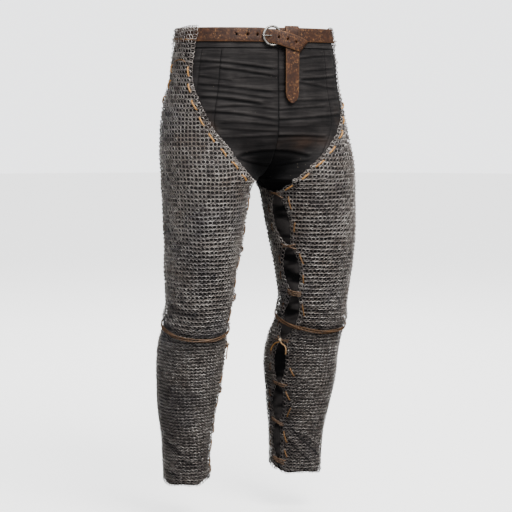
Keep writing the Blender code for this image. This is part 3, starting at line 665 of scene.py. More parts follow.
class Sketch(Wiring):
    """A material's nodes."""

    def __init__(self, name: str) -> None:
        """Start a material with its Principled shader."""
        self.material = bpy.data.materials.new(name)
        self.material.use_nodes = True
        super().__init__(self.material.node_tree)
        self.shader = self.tree.nodes["Principled BSDF"]

    def put(self, name: str, source: Source) -> None:
        """Feed one of the shader's inputs."""
        self.feed(self.shader.inputs[name], source)

    def noise(self, scale: float, detail: float = 3.0, rough: float = 0.5,
              vector: Socket | None = None) -> Socket:
        """Cloudy noise on the piece's own coordinates.

        Args:
            scale: How many blotches a metre holds.
            detail: How many finer layers there are.
            rough: How strong the finer layers are.
            vector: Other coordinates to read.

        Returns:
            The socket with the noise's value.
        """
        return self.node("TexNoise", ("Scale", scale), ("Detail", detail), ("Roughness", rough),
                         ("Vector", vector or self.coordinates["Object"])).outputs["Fac"]

    def stretched(self, scale: Triple) -> Socket:
        """Coordinates of the piece, stretched along each axis."""
        return self.node("Mapping", ("Scale", scale),
                         ("Vector", self.coordinates["Object"])).outputs["Vector"]

    def cells(self, scale: float) -> Socket:
        """The distance to the nearest of many scattered points."""
        return self.node("TexVoronoi", ("Scale", scale),
                         ("Vector", self.coordinates["Object"])).outputs["Distance"]

    def attribute(self, name: str) -> Socket:
        """A value that the piece's mesh carries."""
        carried = self.node("Attribute")
        carried.attribute_name = name
        return carried.outputs["Fac"]

    def ramp(self, factor: Socket, *stops: tuple[float, Colour]) -> Socket:
        """Colours laid over a value.

        Args:
            factor: The value.
            stops: Places along it and their colours.

        Returns:
            The socket with the colour.
        """
        ramp = self.node("ValToRGB", ("Fac", factor))
        elements = ramp.color_ramp.elements
        while len(elements) < len(stops):
            elements.new(0.5)
        for element, (place, colour) in zip(elements, stops):
            element.position = place
            element.color = colour
        return ramp.outputs["Color"]

    def blend(self, factor: Socket, first: Source, second: Source) -> Socket:
        """Two colours blended by a value.

        Args:
            factor: The value.
            first: The colour at 0.
            second: The colour at 1.

        Returns:
            The socket with the colour.
        """
        node = self.node("Mix")
        node.data_type = "RGBA"
        for key, source in ((0, factor), (6, first), (7, second)):
            self.feed(node.inputs[key], source)
        return node.outputs[2]

    def bump(self, height: Socket, strength: float, distance: float) -> None:
        """Raise the surface by a value, on top of what raises it already.

        Args:
            height: The value.
            strength: How much of it is used.
            distance: The rise in metres for a whole 1.
        """
        node = self.node("Bump", ("Strength", strength), ("Distance", distance), ("Height", height))
        links = self.shader.inputs["Normal"].links
        if links:
            self.feed(node.inputs["Normal"], links[0].from_socket)
        self.put("Normal", node.outputs["Normal"])


@dataclass(frozen=True)
class RingIron:
    """Dull iron of the rings, a little brighter or browner from ring to ring, darker towards the bottom, with
    painted shade and light carried in each ring's shade.
    """

    dark: Colour = linear(86, 85, 86)
    middle: Colour = linear(154, 146, 141)
    bright: Colour = linear(234, 227, 220)
    brown: Colour = linear(118, 96, 78)
    bluish: Colour = linear(88, 96, 114)
    # The colour that the rings darken towards near the bottom of the mail, how far, and between which heights
    dirty: Colour = linear(72, 63, 57)
    most_brown: float = 0.35
    most_bluish: float = 0.3
    most_dirt: float = 0.40
    dirt_top: float = -0.50
    dirt_full: float = -0.72
    metallic: float = 0.85

    def build(self) -> Material:
        """Make the material.

        Returns:
            The material.
        """
        sketch = Sketch("ring_iron")
        # The shade attribute holds random tone with painted shade in folds, a painted shadow above the garter
        # and painted light by how each ring is turned
        shade = sketch.attribute("shade")
        base = sketch.ramp(shade, (0.0, self.dark), (0.5, self.middle), (1.0, self.bright))
        patches = sketch.range(sketch.noise(22.0, 4.0), 0.53, 0.72, 0.0, self.most_brown)
        base = sketch.blend(patches, base, self.brown)
        cold = sketch.range(sketch.noise(9.0, 3.0), 0.54, 0.72, 0.0, self.most_bluish)
        base = sketch.blend(cold, base, self.bluish)
        height = sketch.part(sketch.coordinates["Object"], 2)
        # Darker and browner towards the bottom of the mail
        lowness = sketch.range(height, self.dirt_top, self.dirt_full, 0.0, self.most_dirt)
        sketch.put("Base Color", sketch.blend(lowness, base, self.dirty))
        sketch.put("Roughness", sketch.range(sketch.noise(900.0, 2.0), 0.3, 0.7, 0.36, 0.56))
        sketch.put("Metallic", self.metallic)
        sketch.bump(sketch.noise(1400.0, 2.0), 0.3, 0.0003)
        return sketch.material


@dataclass(frozen=True)
class BlackCloth:
    """Black cloth with a soft sheen, faded brown in patches and flecked with pale dust, painted darker in its
    troughs and at the crotch as painted shade and lighter on ridges as wear and painted highlight.
    """

    deep: Colour = linear(12, 12, 13)
    worn: Colour = linear(33, 31, 31)
    ridge: Colour = linear(60, 57, 56)
    faded: Colour = linear(66, 50, 40)
    fleck: Colour = linear(150, 138, 122)
    rubbing: float = 0.13
    most_faded: float = 0.7
    most_fleck: float = 0.6
    threads: float = 1500.0

    def build(self) -> Material:
        """Make the material.

        Returns:
            The material.
        """
        sketch = Sketch("black_cloth_worn")
        clouds = sketch.noise(26.0, 5.0)
        streaks = sketch.noise(1.0, 5.0, 0.6, sketch.stretched((22.0, 22.0, 320.0)))
        rubbed = sketch.math("ADD", sketch.range(clouds, 0.25, 0.75, -self.rubbing, self.rubbing),
                             sketch.range(streaks, 0.3, 0.7, -self.rubbing, self.rubbing))
        # The relief attribute carries painted shade in troughs and at the crotch, and wear with painted
        # highlight on ridges
        relief = sketch.attribute("relief")
        rubbed = sketch.math("MULTIPLY", rubbed, sketch.range(relief, 0.0, 0.35, 0.1, 1.0))
        height = sketch.math("ADD", relief, rubbed)
        # The deep stop is painted shade in troughs; the ridge stop is wear and painted highlight
        base = sketch.ramp(height, (0.14, self.deep), (0.48, self.worn), (0.92, self.ridge))
        fading = sketch.math("MULTIPLY", sketch.attribute("fading"),
                             sketch.range(clouds, 0.38, 0.66, 0.0, self.most_faded))
        base = sketch.blend(fading, base, self.faded)
        flecks = sketch.range(sketch.cells(95.0), 0.07, 0.04, 0.0, self.most_fleck)
        flecks = sketch.math("MULTIPLY", flecks, sketch.range(sketch.noise(15.0, 2.0), 0.52, 0.62, 0.0, 1.0))
        sketch.put("Base Color", sketch.blend(flecks, base, self.fleck))
        sketch.put("Roughness", sketch.range(height, 0.0, 0.8, 0.85, 0.50))
        weave = sketch.node("TexWave", ("Scale", self.threads), ("Vector", sketch.coordinates["UV"]))
        sketch.bump(weave.outputs["Fac"], 0.25, 0.0002)
        sketch.bump(sketch.noise(420.0, 3.0), 0.35, 0.0004)
        sketch.bump(streaks, 0.6, 0.0008)
        sketch.put("Specular IOR Level", 0.12)
        sketch.put("Sheen Weight", 0.03)
        sketch.put("Sheen Roughness", 0.4)
        return sketch.material


@dataclass(frozen=True)
class ScuffedLeather:
    """Brown belt leather, mottled, with paler scuffs."""

    dark: Colour = linear(38, 23, 16)
    brown: Colour = linear(54, 33, 22)
    pale: Colour = linear(80, 50, 31)
    scuffed: Colour = linear(150, 106, 66)
    most_scuffed: float = 0.85
    rim_scuffed: float = 0.22
    edge_middle: float = 0.444

    def build(self) -> Material:
        """Make the material.

        Returns:
            The material.
        """
        sketch = Sketch("scuffed_leather")
        mottled = sketch.noise(90.0, 6.0, 0.65)
        base = sketch.ramp(mottled, (0.34, self.dark), (0.52, self.brown), (0.74, self.pale))
        scuffs = sketch.range(sketch.noise(250.0, 6.0, 0.75), 0.53, 0.66, 0.0, self.most_scuffed)
        scuffs = sketch.math("MULTIPLY", scuffs, sketch.range(sketch.noise(34.0, 3.0), 0.38, 0.58, 0.15, 1.0))
        worn = sketch.math("MAXIMUM", scuffs, sketch.math("MULTIPLY", self.rim(sketch), self.rim_scuffed))
        sketch.put("Base Color", sketch.blend(worn, base, self.scuffed))
        sketch.put("Roughness", sketch.range(mottled, 0.3, 0.7, 0.66, 0.46))
        sketch.put("Specular IOR Level", 0.3)
        sketch.bump(sketch.cells(900.0), 0.35, 0.0004)
        sketch.bump(sketch.noise(220.0, 4.0), 0.4, 0.0006)
        return sketch.material

    def rim(self, sketch: Sketch) -> Socket:
        """How near the strap's long edges a place is, read from the strap's UV map."""
        across = sketch.part(sketch.coordinates["UV"], 0)
        turned = sketch.math("FRACT", sketch.math("MULTIPLY", across, 2.0), 0.0)
        from_middle = sketch.math("ABSOLUTE", sketch.math("SUBTRACT", turned, self.edge_middle), 0.0)
        return sketch.range(from_middle, 0.19, 0.25, 0.0, 1.0)


@dataclass(frozen=True)
class ThongLeather:
    """Leather thong of a given colour, with a fine grain along it."""

    name: str
    dark: Colour
    pale: Colour
    blotches: float
    rough: float = 0.6

    def build(self) -> Material:
        """Make the material.

        Returns:
            The material.
        """
        sketch = Sketch(self.name)
        grain = sketch.noise(self.blotches)
        sketch.put("Base Color", sketch.ramp(grain, (0.3, self.dark), (0.7, self.pale)))
        sketch.put("Roughness", self.rough)
        sketch.bump(sketch.noise(700.0), 0.5, 0.0003)
        return sketch.material


@dataclass(frozen=True)
class WornSteel:
    """Plain steel of the buckle, with dull patches."""

    bright: Colour = linear(164, 161, 155)
    dull: Colour = linear(88, 85, 81)

    def build(self) -> Material:
        """Make the material.

        Returns:
            The material.
        """
        sketch = Sketch("worn_steel")
        patches = sketch.noise(220.0, 4.0)
        sketch.put("Base Color", sketch.ramp(patches, (0.35, self.dull), (0.6, self.bright)))
        sketch.put("Roughness", sketch.range(patches, 0.3, 0.7, 0.5, 0.26))
        sketch.put("Metallic", 1.0)
        sketch.bump(sketch.noise(800.0, 2.0), 0.2, 0.0003)
        return sketch.material


def mapped_grid(columns: int, rows: int, place: Callable[[int, int], Vector],
                **values: Callable[[int, int], float]) -> Shape:
    """A grid whose points are laid out by a rule.

    Args:
        columns: How many faces lie across.
        rows: How many faces lie upwards.
        place: Gives the point of a column and a row.
        values: Gives what the points carry for their material, under the attributes' names.

    Returns:
        The open mesh.
    """
    sheet = bmesh.new()
    bmesh.ops.create_grid(sheet, x_segments=columns, y_segments=rows, size=0.5)
    uv = sheet.loops.layers.uv.new("laid_out")
    layers = {name: sheet.verts.layers.float.new(name) for name in values}
    indices = {v: (round((v.co.x + 0.5) * columns), round((v.co.y + 0.5) * rows)) for v in sheet.verts}
    places = {v: place(*index) for v, index in indices.items()}
    for vertex, point in places.items():
        vertex.co = point
        for name, layer in layers.items():
            vertex[layer] = values[name](*indices[vertex])
    for face in sheet.faces:
        for loop in face.loops:
            column, row = indices[loop.vert]
            loop[uv].uv = (column / columns, row / rows)
    return sheet


def tube(route: Sequence[Vector], radius: float, sides: int = 8, lobes: float = 0.16,
         twist: float = 0.0055) -> Shape:
    """A twisted two-ply thong along a route, with filled ends.

    Args:
        route: The points that its middle follows.
        radius: Half its thickness.
        sides: How many faces go round it.
        lobes: How far the two plies stand out, as a share of the radius.
        twist: The length of one turn of a ply.

    Returns:
        The closed mesh.
    """
    frames = []
    across = (route[1] - route[0]).orthogonal().normalized()
    distance = 0.0
    for i, point in enumerate(route):
        ahead = (route[min(i + 1, len(route) - 1)] - route[max(i - 1, 0)]).normalized()
        across = (across - ahead * across.dot(ahead)).normalized()
        distance += (point - route[i - 1]).length if i else 0.0
        frames.append((point, across.copy(), ahead.cross(across), 2 * math.pi * distance / twist))

    def place(column: int, row: int) -> Vector:
        """A point round the thong."""
        point, first, second, turned = frames[row]
        angle = 2 * math.pi * (column % sides) / sides
        size = radius * (1 - lobes + lobes * math.cos(2 * (angle - turned)))
        return point + (first * math.cos(angle) + second * math.sin(angle)) * size

    return sealed(mapped_grid(sides, len(route) - 1, place))


def sealed(rolled: Shape) -> Shape:
    """Close a rolled-up grid along its length and at both ends."""
    bmesh.ops.remove_doubles(rolled, verts=rolled.verts, dist=0.000001)
    bmesh.ops.holes_fill(rolled, edges=[e for e in rolled.edges if e.is_boundary], sides=0)
    bmesh.ops.recalc_face_normals(rolled, faces=rolled.faces)
    return rolled


def spun_ring(radius: float, wire: float, sides: int, steps: int, flat: float = 1.0) -> Shape:
    """A ring of wire spun about the z axis.

    Args:
        radius: The ring's radius.
        wire: The wire's radius.
        sides: How many faces go round the wire.
        steps: How many go round the ring.
        flat: The wire's height as a share of its width.

    Returns:
        The closed mesh.
    """
    ring = bmesh.new()
    upright_wire = Matrix.Translation((radius, 0, 0)) @ Matrix.Rotation(math.pi / 2, 4, "X")
    bmesh.ops.create_circle(ring, segments=sides, radius=wire, matrix=upright_wire)
    bmesh.ops.scale(ring, vec=(1, 1, flat), verts=ring.verts)
    bmesh.ops.spin(ring, geom=ring.verts[:] + ring.edges[:], axis=(0, 0, 1), cent=(0, 0, 0),
                   angle=2 * math.pi, steps=steps, use_merge=True)
    bmesh.ops.remove_doubles(ring, verts=ring.verts, dist=0.00001)
    bmesh.ops.recalc_face_normals(ring, faces=ring.faces)
    return ring


def smooth_route(points: Sequence[Vector], spacing: float) -> list[Vector]:
    """Read points about a spacing apart from a smooth curve through a few.

    Args:
        points: The few points.
        spacing: The distance between two points of the result.

    Returns:
        The points along the curve.
    """
    ends = [2 * points[0] - points[1], *points, 2 * points[-1] - points[-2]]
    fine = []
    steps = 8
    for before, here, there, after in zip(ends, ends[1:], ends[2:], ends[3:]):
        for i in range(steps):
            s = i / steps
            bend = 2 * before - 5 * here + 4 * there - after
            swing = 3 * here - before - 3 * there + after
            fine.append(0.5 * (2 * here + (there - before) * s + bend * s ** 2 + swing * s ** 3))
    fine.append(points[-1])
    return spaced(fine, spacing)


def lengths_along(points: Sequence[Vector]) -> list[float]:
    """How long a line of points is up to each of them."""
    lengths = [0.0]
    for near, far in zip(points, points[1:]):
        lengths.append(lengths[-1] + (far - near).length)
    return lengths


def step_at(values: Sequence[float], wanted: float) -> int:
    """The number of the step between rising values that holds the wanted one."""
    return min(max(bisect_right(values, wanted) - 1, 0), len(values) - 2)


def read_off(places: Sequence[float], values: Sequence[float], wanted: float) -> float:
    """Read a value off a line that is given at rising places."""
    i = step_at(places, wanted)
    return values[i] + (values[i + 1] - values[i]) * (wanted - places[i]) / (places[i + 1] - places[i])


def spaced(points: Sequence[Vector], spacing: float) -> list[Vector]:
    """Points about a spacing apart along a line of many points.

    Args:
        points: The many points.
        spacing: The distance between two points of the result.

    Returns:
        The points.
    """
    distance = lengths_along(points)
    count = max(2, round(distance[-1] / spacing))
    route = []
    for k in range(count + 1):
        wanted = distance[-1] * k / count
        i = step_at(distance, wanted)
        share = (wanted - distance[i]) / max(distance[i + 1] - distance[i], 1e-9)
        route.append(points[i].lerp(points[i + 1], share))
    return route


def added(name: str, data: bpy.types.ID) -> Thing:
    """A new object in the scene."""
    thing = bpy.data.objects.new(name, data)
    bpy.context.scene.collection.objects.link(thing)
    return thing


def shown(name: str, shape: Shape, material: Material, angle: float = 50.0) -> Thing:
    """Turn a bmesh into a shown object with its material.

    Args:
        name: The object's name.
        shape: The bmesh, which is freed.
        material: Its finish.
        angle: The angle in degrees past which an edge stays sharp.

    Returns:
        The object, at the origin.
    """
    mesh = bpy.data.meshes.new(name)
    shape.to_mesh(mesh)
    shape.free()
    mesh.shade_smooth()
    mesh.set_sharp_from_angle(angle=math.radians(angle))
    mesh.materials.append(material)
    return added(name, mesh)


def baked(thing: Thing) -> Thing:
    """Apply an object's modifiers to its mesh.

    Args:
        thing: The object.

    Returns:
        The same object.
    """
    bpy.context.view_layer.update()
    mesh = bpy.data.meshes.new_from_object(thing.evaluated_get(bpy.context.evaluated_depsgraph_get()))
    thing.modifiers.clear()
    thing.data = mesh
    return thing


def walled(sheet: Thing) -> Thing:
    """Give a sheet of cloth its thickness, inwards."""
    wall = sheet.modifiers.new("wall", "SOLIDIFY")
    wall.thickness = CLOTH
    wall.offset = -1
    return baked(sheet)


def joined(shapes: Iterable[Shape]) -> Shape:
    """Several closed shapes in one bmesh.

    Args:
        shapes: The shapes, which are freed.

    Returns:
        The bmesh.
    """
    whole = bmesh.new()
    for shape in shapes:
        part = bpy.data.meshes.new("part")
        shape.to_mesh(part)
        shape.free()
        whole.from_mesh(part)
        bpy.data.meshes.remove(part)
    return whole


def settle(piece: Thing, slot: str, *nodes: str) -> Thing:
    """Let a piece ride on the part and hide the solids that it stands for.

    Args:
        piece: The piece.
        slot: The record's material slot; not used.
        nodes: The solids that it replaces.

    Returns:
        The piece.
    """
    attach(piece, "root")
    if nodes:
        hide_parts(*nodes)
    log.info("%s: %d faces", piece.name, len(piece.data.polygons))
    return piece


class FadedPatch(NamedTuple):
    """A faded patch of the trousers: its side, share and height, its reach both ways, and how faded it is."""

    side: Side
    share: float
    z: float
    reach: float
    reach_z: float
    amount: float


@dataclass
class Trousers:
    """The black trousers: four panels a side from waist to hem, and a waistband in two halves."""

    fine_row: float = 0.0022
    seam_reach: float = 0.0006
    seam_depth: float = 0.0006
    seam_steps: tuple[float, ...] = (0.0, 0.0005, 0.0012)
    crease_depth: float = 0.68
    crease_reach: float = 0.75
    ridge_share: float = 0.55
    ridge_height: float = 0.0042
    wrinkle: float = 0.0006
    wrinkle_fineness: Pair = (7, 130)
    hem_reach: float = 0.030
    hem_cover: float = 0.0006
    slot_bulge: float = 0.0022
    slot_ripple: float = 0.0018
    # Painted light and shade on the folds of the cloth in the slot: its mean and its contrast
    slot_shade: float = 0.62
    slot_contrast: float = 1.5
    slot_folds: tuple[tuple[float, ...], ...] = ((1.0, 8, 0.08, 42, 7.0), (0.6, 12, -0.10, 105, 5.0))
    loose_ripple: float = 0.0007
    edge_reach: float = 0.006
    mean_relief: float = 0.50
    # Painted shade at the crotch: where it starts and how far down it deepens, how wide it is, and how dark
    crotch: Pair = (-0.205, -0.060)
    crotch_full: float = 1.35
    crotch_width: float = 0.16
    crotch_dark: float = 0.97
    seam_dark: float = 0.8
    fine_below: float = 0.03
    along_bend: float = 1.03
    band_faces: tuple[int, int] = (90, 12)
    band_gap: float = 0.0004
    band_wave: float = 0.0004
    band_fineness: Pair = (30, 60)
    band_relief: float = 0.62
    panels: tuple[tuple[str, float, float, int, float], ...] = (
        ("front", 0.0, 0.2175, 22, 0.0040), ("side_front", 0.2175, 0.318, 10, 0.0120),
        ("side_back", 0.318, 0.68, 14, 0.0120), ("back", 0.68, 1.0, 22, 0.0120),
    )
    faded: tuple[FadedPatch, ...] = (
        FadedPatch(Side.LEFT, 0.285, -0.165, 0.035, 0.014, 1.0),
        FadedPatch(Side.LEFT, 0.110, -0.215, 0.100, 0.012, 0.7),
        FadedPatch(Side.RIGHT, 0.245, -0.180, 0.030, 0.020, 0.7),
        FadedPatch(Side.RIGHT, 0.860, -0.150, 0.080, 0.025, 0.8),
        FadedPatch(Side.LEFT, 0.800, -0.210, 0.060, 0.020, 0.7),
    )

    def crease(self, z: float, t: float, side: Side) -> float:
        """How far the cloth sinks or rises in its creases here."""
        folded = crease_lift(CREASES[side], z, t, self.crease_reach, self.ridge_share)
        across, up = self.wrinkle_fineness
        wrinkled = noise.noise(Vector((t * across, z * up, side.value * 3.0)))
        return folded * self.crease_depth + self.wrinkle * wrinkled

    def relief(self, z: float, t: float, side: Side) -> float:
        """How light the cloth is painted here, from 0 in a trough to 1 on a ridge: painted shade in troughs
        and at the crotch, wear and painted highlight on ridges.

        Args:
            z: The height.
            t: The share of the way round.
            side: The wearer's side.

        Returns:
            The tone: painted shade, wear and painted highlight.
        """
        if z < SLOT_TOP:
            # Painted shade and painted highlight on the soft folds of the cloth in the slot
            bare = clamped(self.slot_shade + self.slot_contrast * self.slot_fold(z, t, side))
        else:
            # Painted shade between the legs at the crotch
            aside = min(abs(t), abs(1 - t)) / self.crotch_width
            crotch = rising(z, *self.crotch) * clamped(self.crotch_full - aside)
            # Painted shade in the creases' troughs, wear and painted highlight on their ridges
            bare = clamped(self.mean_relief + self.crease(z, t, side) / self.ridge_height)
            bare *= 1 - self.crotch_dark * crotch
        under = clamped(self.covered(z, t, side) / self.edge_reach)
        return bare + (self.mean_relief - bare) * under

    def covered(self, z: float, t: float, side: Side) -> float:
        """How many metres behind the mail's nearest edge the cloth lies, below 0 where it shows."""
        first, last = mail_span(z, side)
        return max(min(share - first, last - share) for share in (t, t + 1)) * speed(z, t)

    def slot_fold(self, z: float, t: float, side: Side) -> float:
        """The soft slanting folds of the cloth that shows in the laced slot, from -1 to 1."""
        around = t if t < 0.5 else t - 1
        total = 0.0
        for height, across, slant, up, shift in self.slot_folds:
            place = Vector((around * across, (z + around * slant) * up, shift * side.value))
            total += height * noise.noise(place)
        return total

    def fading(self, z: float, t: float, side: Side) -> float:
        """How faded the cloth is here."""
        return clamped(sum(patch.amount * math.exp(-((t - patch.share) / patch.reach) ** 2
                                                   - ((z - patch.z) / patch.reach_z) ** 2)
                           for patch in self.faded if patch.side is side))

    def shares(self, columns: int, width: float) -> list[float]:
        """Where a panel's columns lie across it, close together along both seams."""
        near = [step / width for step in self.seam_steps]
        middle = [near[-1] + (1 - 2 * near[-1]) * i / columns for i in range(columns + 1)]
        return near[:-1] + middle + [1 - share for share in reversed(near[:-1])]

    def lift(self, z: float, t: float, side: Side) -> float:
        """The lift of the cloth's outer face: creased where it shows, and pressed in under the mail.

        Args:
            z: The height.
            t: The share of the way round.
            side: The wearer's side.

        Returns:
            The lift.
        """
        if z <= SLOT_TOP:
            pressed = 1.0
        else:
            first, last = mail_span(z, side)
            covered = min((t - first) * speed(z, first), (last - t) * speed(z, last)) / UNDER_REACH
            pressed = clamped(max(covered, (SLOT_TOP + UNDER_REACH - z) / UNDER_REACH))
        if z < SLOT_TOP:
            open_share = clamped(-self.covered(z, t, side) / self.edge_reach)
            ripple = self.slot_ripple * self.slot_fold(z, t, side) + self.slot_bulge * open_share
        else:
            ripple = waves(form_point(z, t), (self.loose_ripple, 45))
        return (1 - pressed) * self.crease(z, t, side) - pressed * UNDER_MAIL + ripple

    def rows(self, leg_row: float) -> list[float]:
        """The heights of a panel's rows, from the hem up, a given step apart on the leg.

        Args:
            leg_row: The height of a row on the leg.

        Returns:
            The heights.
        """
        heights = [TROUSER_HEM_Z]
        while heights[-1] < CROTCH_Z - self.fine_below:
            heights.append(heights[-1] + leg_row)
        count = round((TROUSER_TOP - heights[-1]) / self.fine_row)
        start = heights[-1]
        return heights + [start + (TROUSER_TOP - start) * (i + 1) / count for i in range(count)]

    def panel(self, name: str, start: float, end: float, columns: int, leg_row: float, side: Side,
              material: Material) -> None:
        """One panel from waist to hem.

        Args:
            name: The panel's name.
            start: The share round the trunk at which it starts.
            end: The share at which it ends.
            columns: How many faces lie across.
            leg_row: The height of a row of faces on the leg.
            side: The wearer's side.
            material: The cloth.
        """
        heights = self.rows(leg_row)
        widths = [speed(z, (start + end) / 2) * (end - start) for z in heights]
        shares = [self.shares(columns, width) for width in widths]

        def spot(column: int, row: int) -> Pair:
            """The height and share of a grid point, drawn towards the hem's line."""
            t = start + (end - start) * shares[row][column]
            near_hem = clamped(1 - (heights[row] - TROUSER_HEM_Z) / self.hem_reach)
            return heights[row] + (hem_height(t, side) + self.hem_cover - TROUSER_HEM_Z) * near_hem, t

        def sunk(column: int, row: int) -> float:
            """How deep in a seam a grid point lies, from 0 to 1."""
            share = shares[row][column]
            return bell(min(share, 1 - share) * widths[row], self.seam_reach)

        def place(column: int, row: int) -> Vector:
            """A point of the panel."""
            z, t = spot(column, row)
            return side_point(z, t, self.lift(z, t, side) - self.seam_depth * sunk(column, row), side)

        def relief(column: int, row: int) -> float:
            """How light the cloth is painted, with painted shade in creases and wear and painted highlight on
            ridges, darker along the seams.
            """
            return self.relief(*spot(column, row), side) * (1 - self.seam_dark * sunk(column, row))

        sheet = mapped_grid(len(shares[0]) - 1, len(heights) - 1, place, relief=relief,
                            fading=lambda c, r: self.fading(*spot(c, r), side))
        if side is Side.RIGHT:
            bmesh.ops.reverse_faces(sheet, faces=sheet.faces)
        area = sum(face.calc_area() for face in sheet.faces)
        piece = walled(shown(f"cloth_{name}_{side.word}", sheet, material))
        nodes = [f"trousers_{name}_{part}_{side.word}" for part in ("thigh", "shin")]
        settle(piece, "black_cloth", *nodes)

    def waistband(self, name: str, start: float, end: float, material: Material) -> None:
        """One half of the waistband, with a stitched lower edge.

        Args:
            name: Which half.
            start: The share at which it starts.
            end: The share at which it ends.
            material: The cloth.
        """
        columns, rows = self.band_faces
        gap = self.band_gap
        across, up = self.band_fineness

        def place(column: int, row: int) -> Vector:
            """A point of the waistband."""
            z = WAISTBAND_BOTTOM + (WAISTBAND_TOP - WAISTBAND_BOTTOM) * row / rows
            t = start + gap + (end - start - 2 * gap) * column / columns
            wave = self.band_wave * noise.noise(Vector((t * across, z * up, 3.0)))
            return form_point(z, t) + normal(z, t) * (wave if z < -BELT_WIDTH / 2 else 0.0)

        sheet = mapped_grid(columns, rows, place, relief=lambda c, r: 0.0 if r < 1 else self.band_relief)
        area = sum(face.calc_area() for face in sheet.faces)
        piece = walled(shown(f"cloth_waistband_{name}", sheet, material))
        settle(piece, "black_cloth", f"waistband_{name}")

    def build(self, material: Material) -> None:
        """Make every piece of the trousers.

        Args:
            material: The finish.
        """
        for side in Side:
            for name, start, end, columns, leg_row in self.panels:
                self.panel(name, start, end, columns, leg_row, side, material)
        self.waistband("front", -0.5, 0.5, material)
        self.waistband("back", 0.5, 1.5, material)


class MailZone(NamedTuple):
    """A stretch of the mail that is one piece: its name, top, bottom and the solid it stands for."""

    name: str
    top: float
    bottom: float
    node: str


class LaidRing(NamedTuple):
    """One ring: its place, its lean as turns about x, y and z, its shade, and whether it stands on edge."""

    place: Vector
    lean: Vector
    shade: float
    turned: bool = False


def leaning(axis: Vector, side: Side, spin: float = 0.0) -> Vector:
    """A ring's lean on the asked side, from its axis on the wearer's left and its spin about it."""
    lean = mirrored(axis, side).to_track_quat("Z", "Y") @ Quaternion((0, 0, 1), spin)
    return Vector(lean.to_euler())


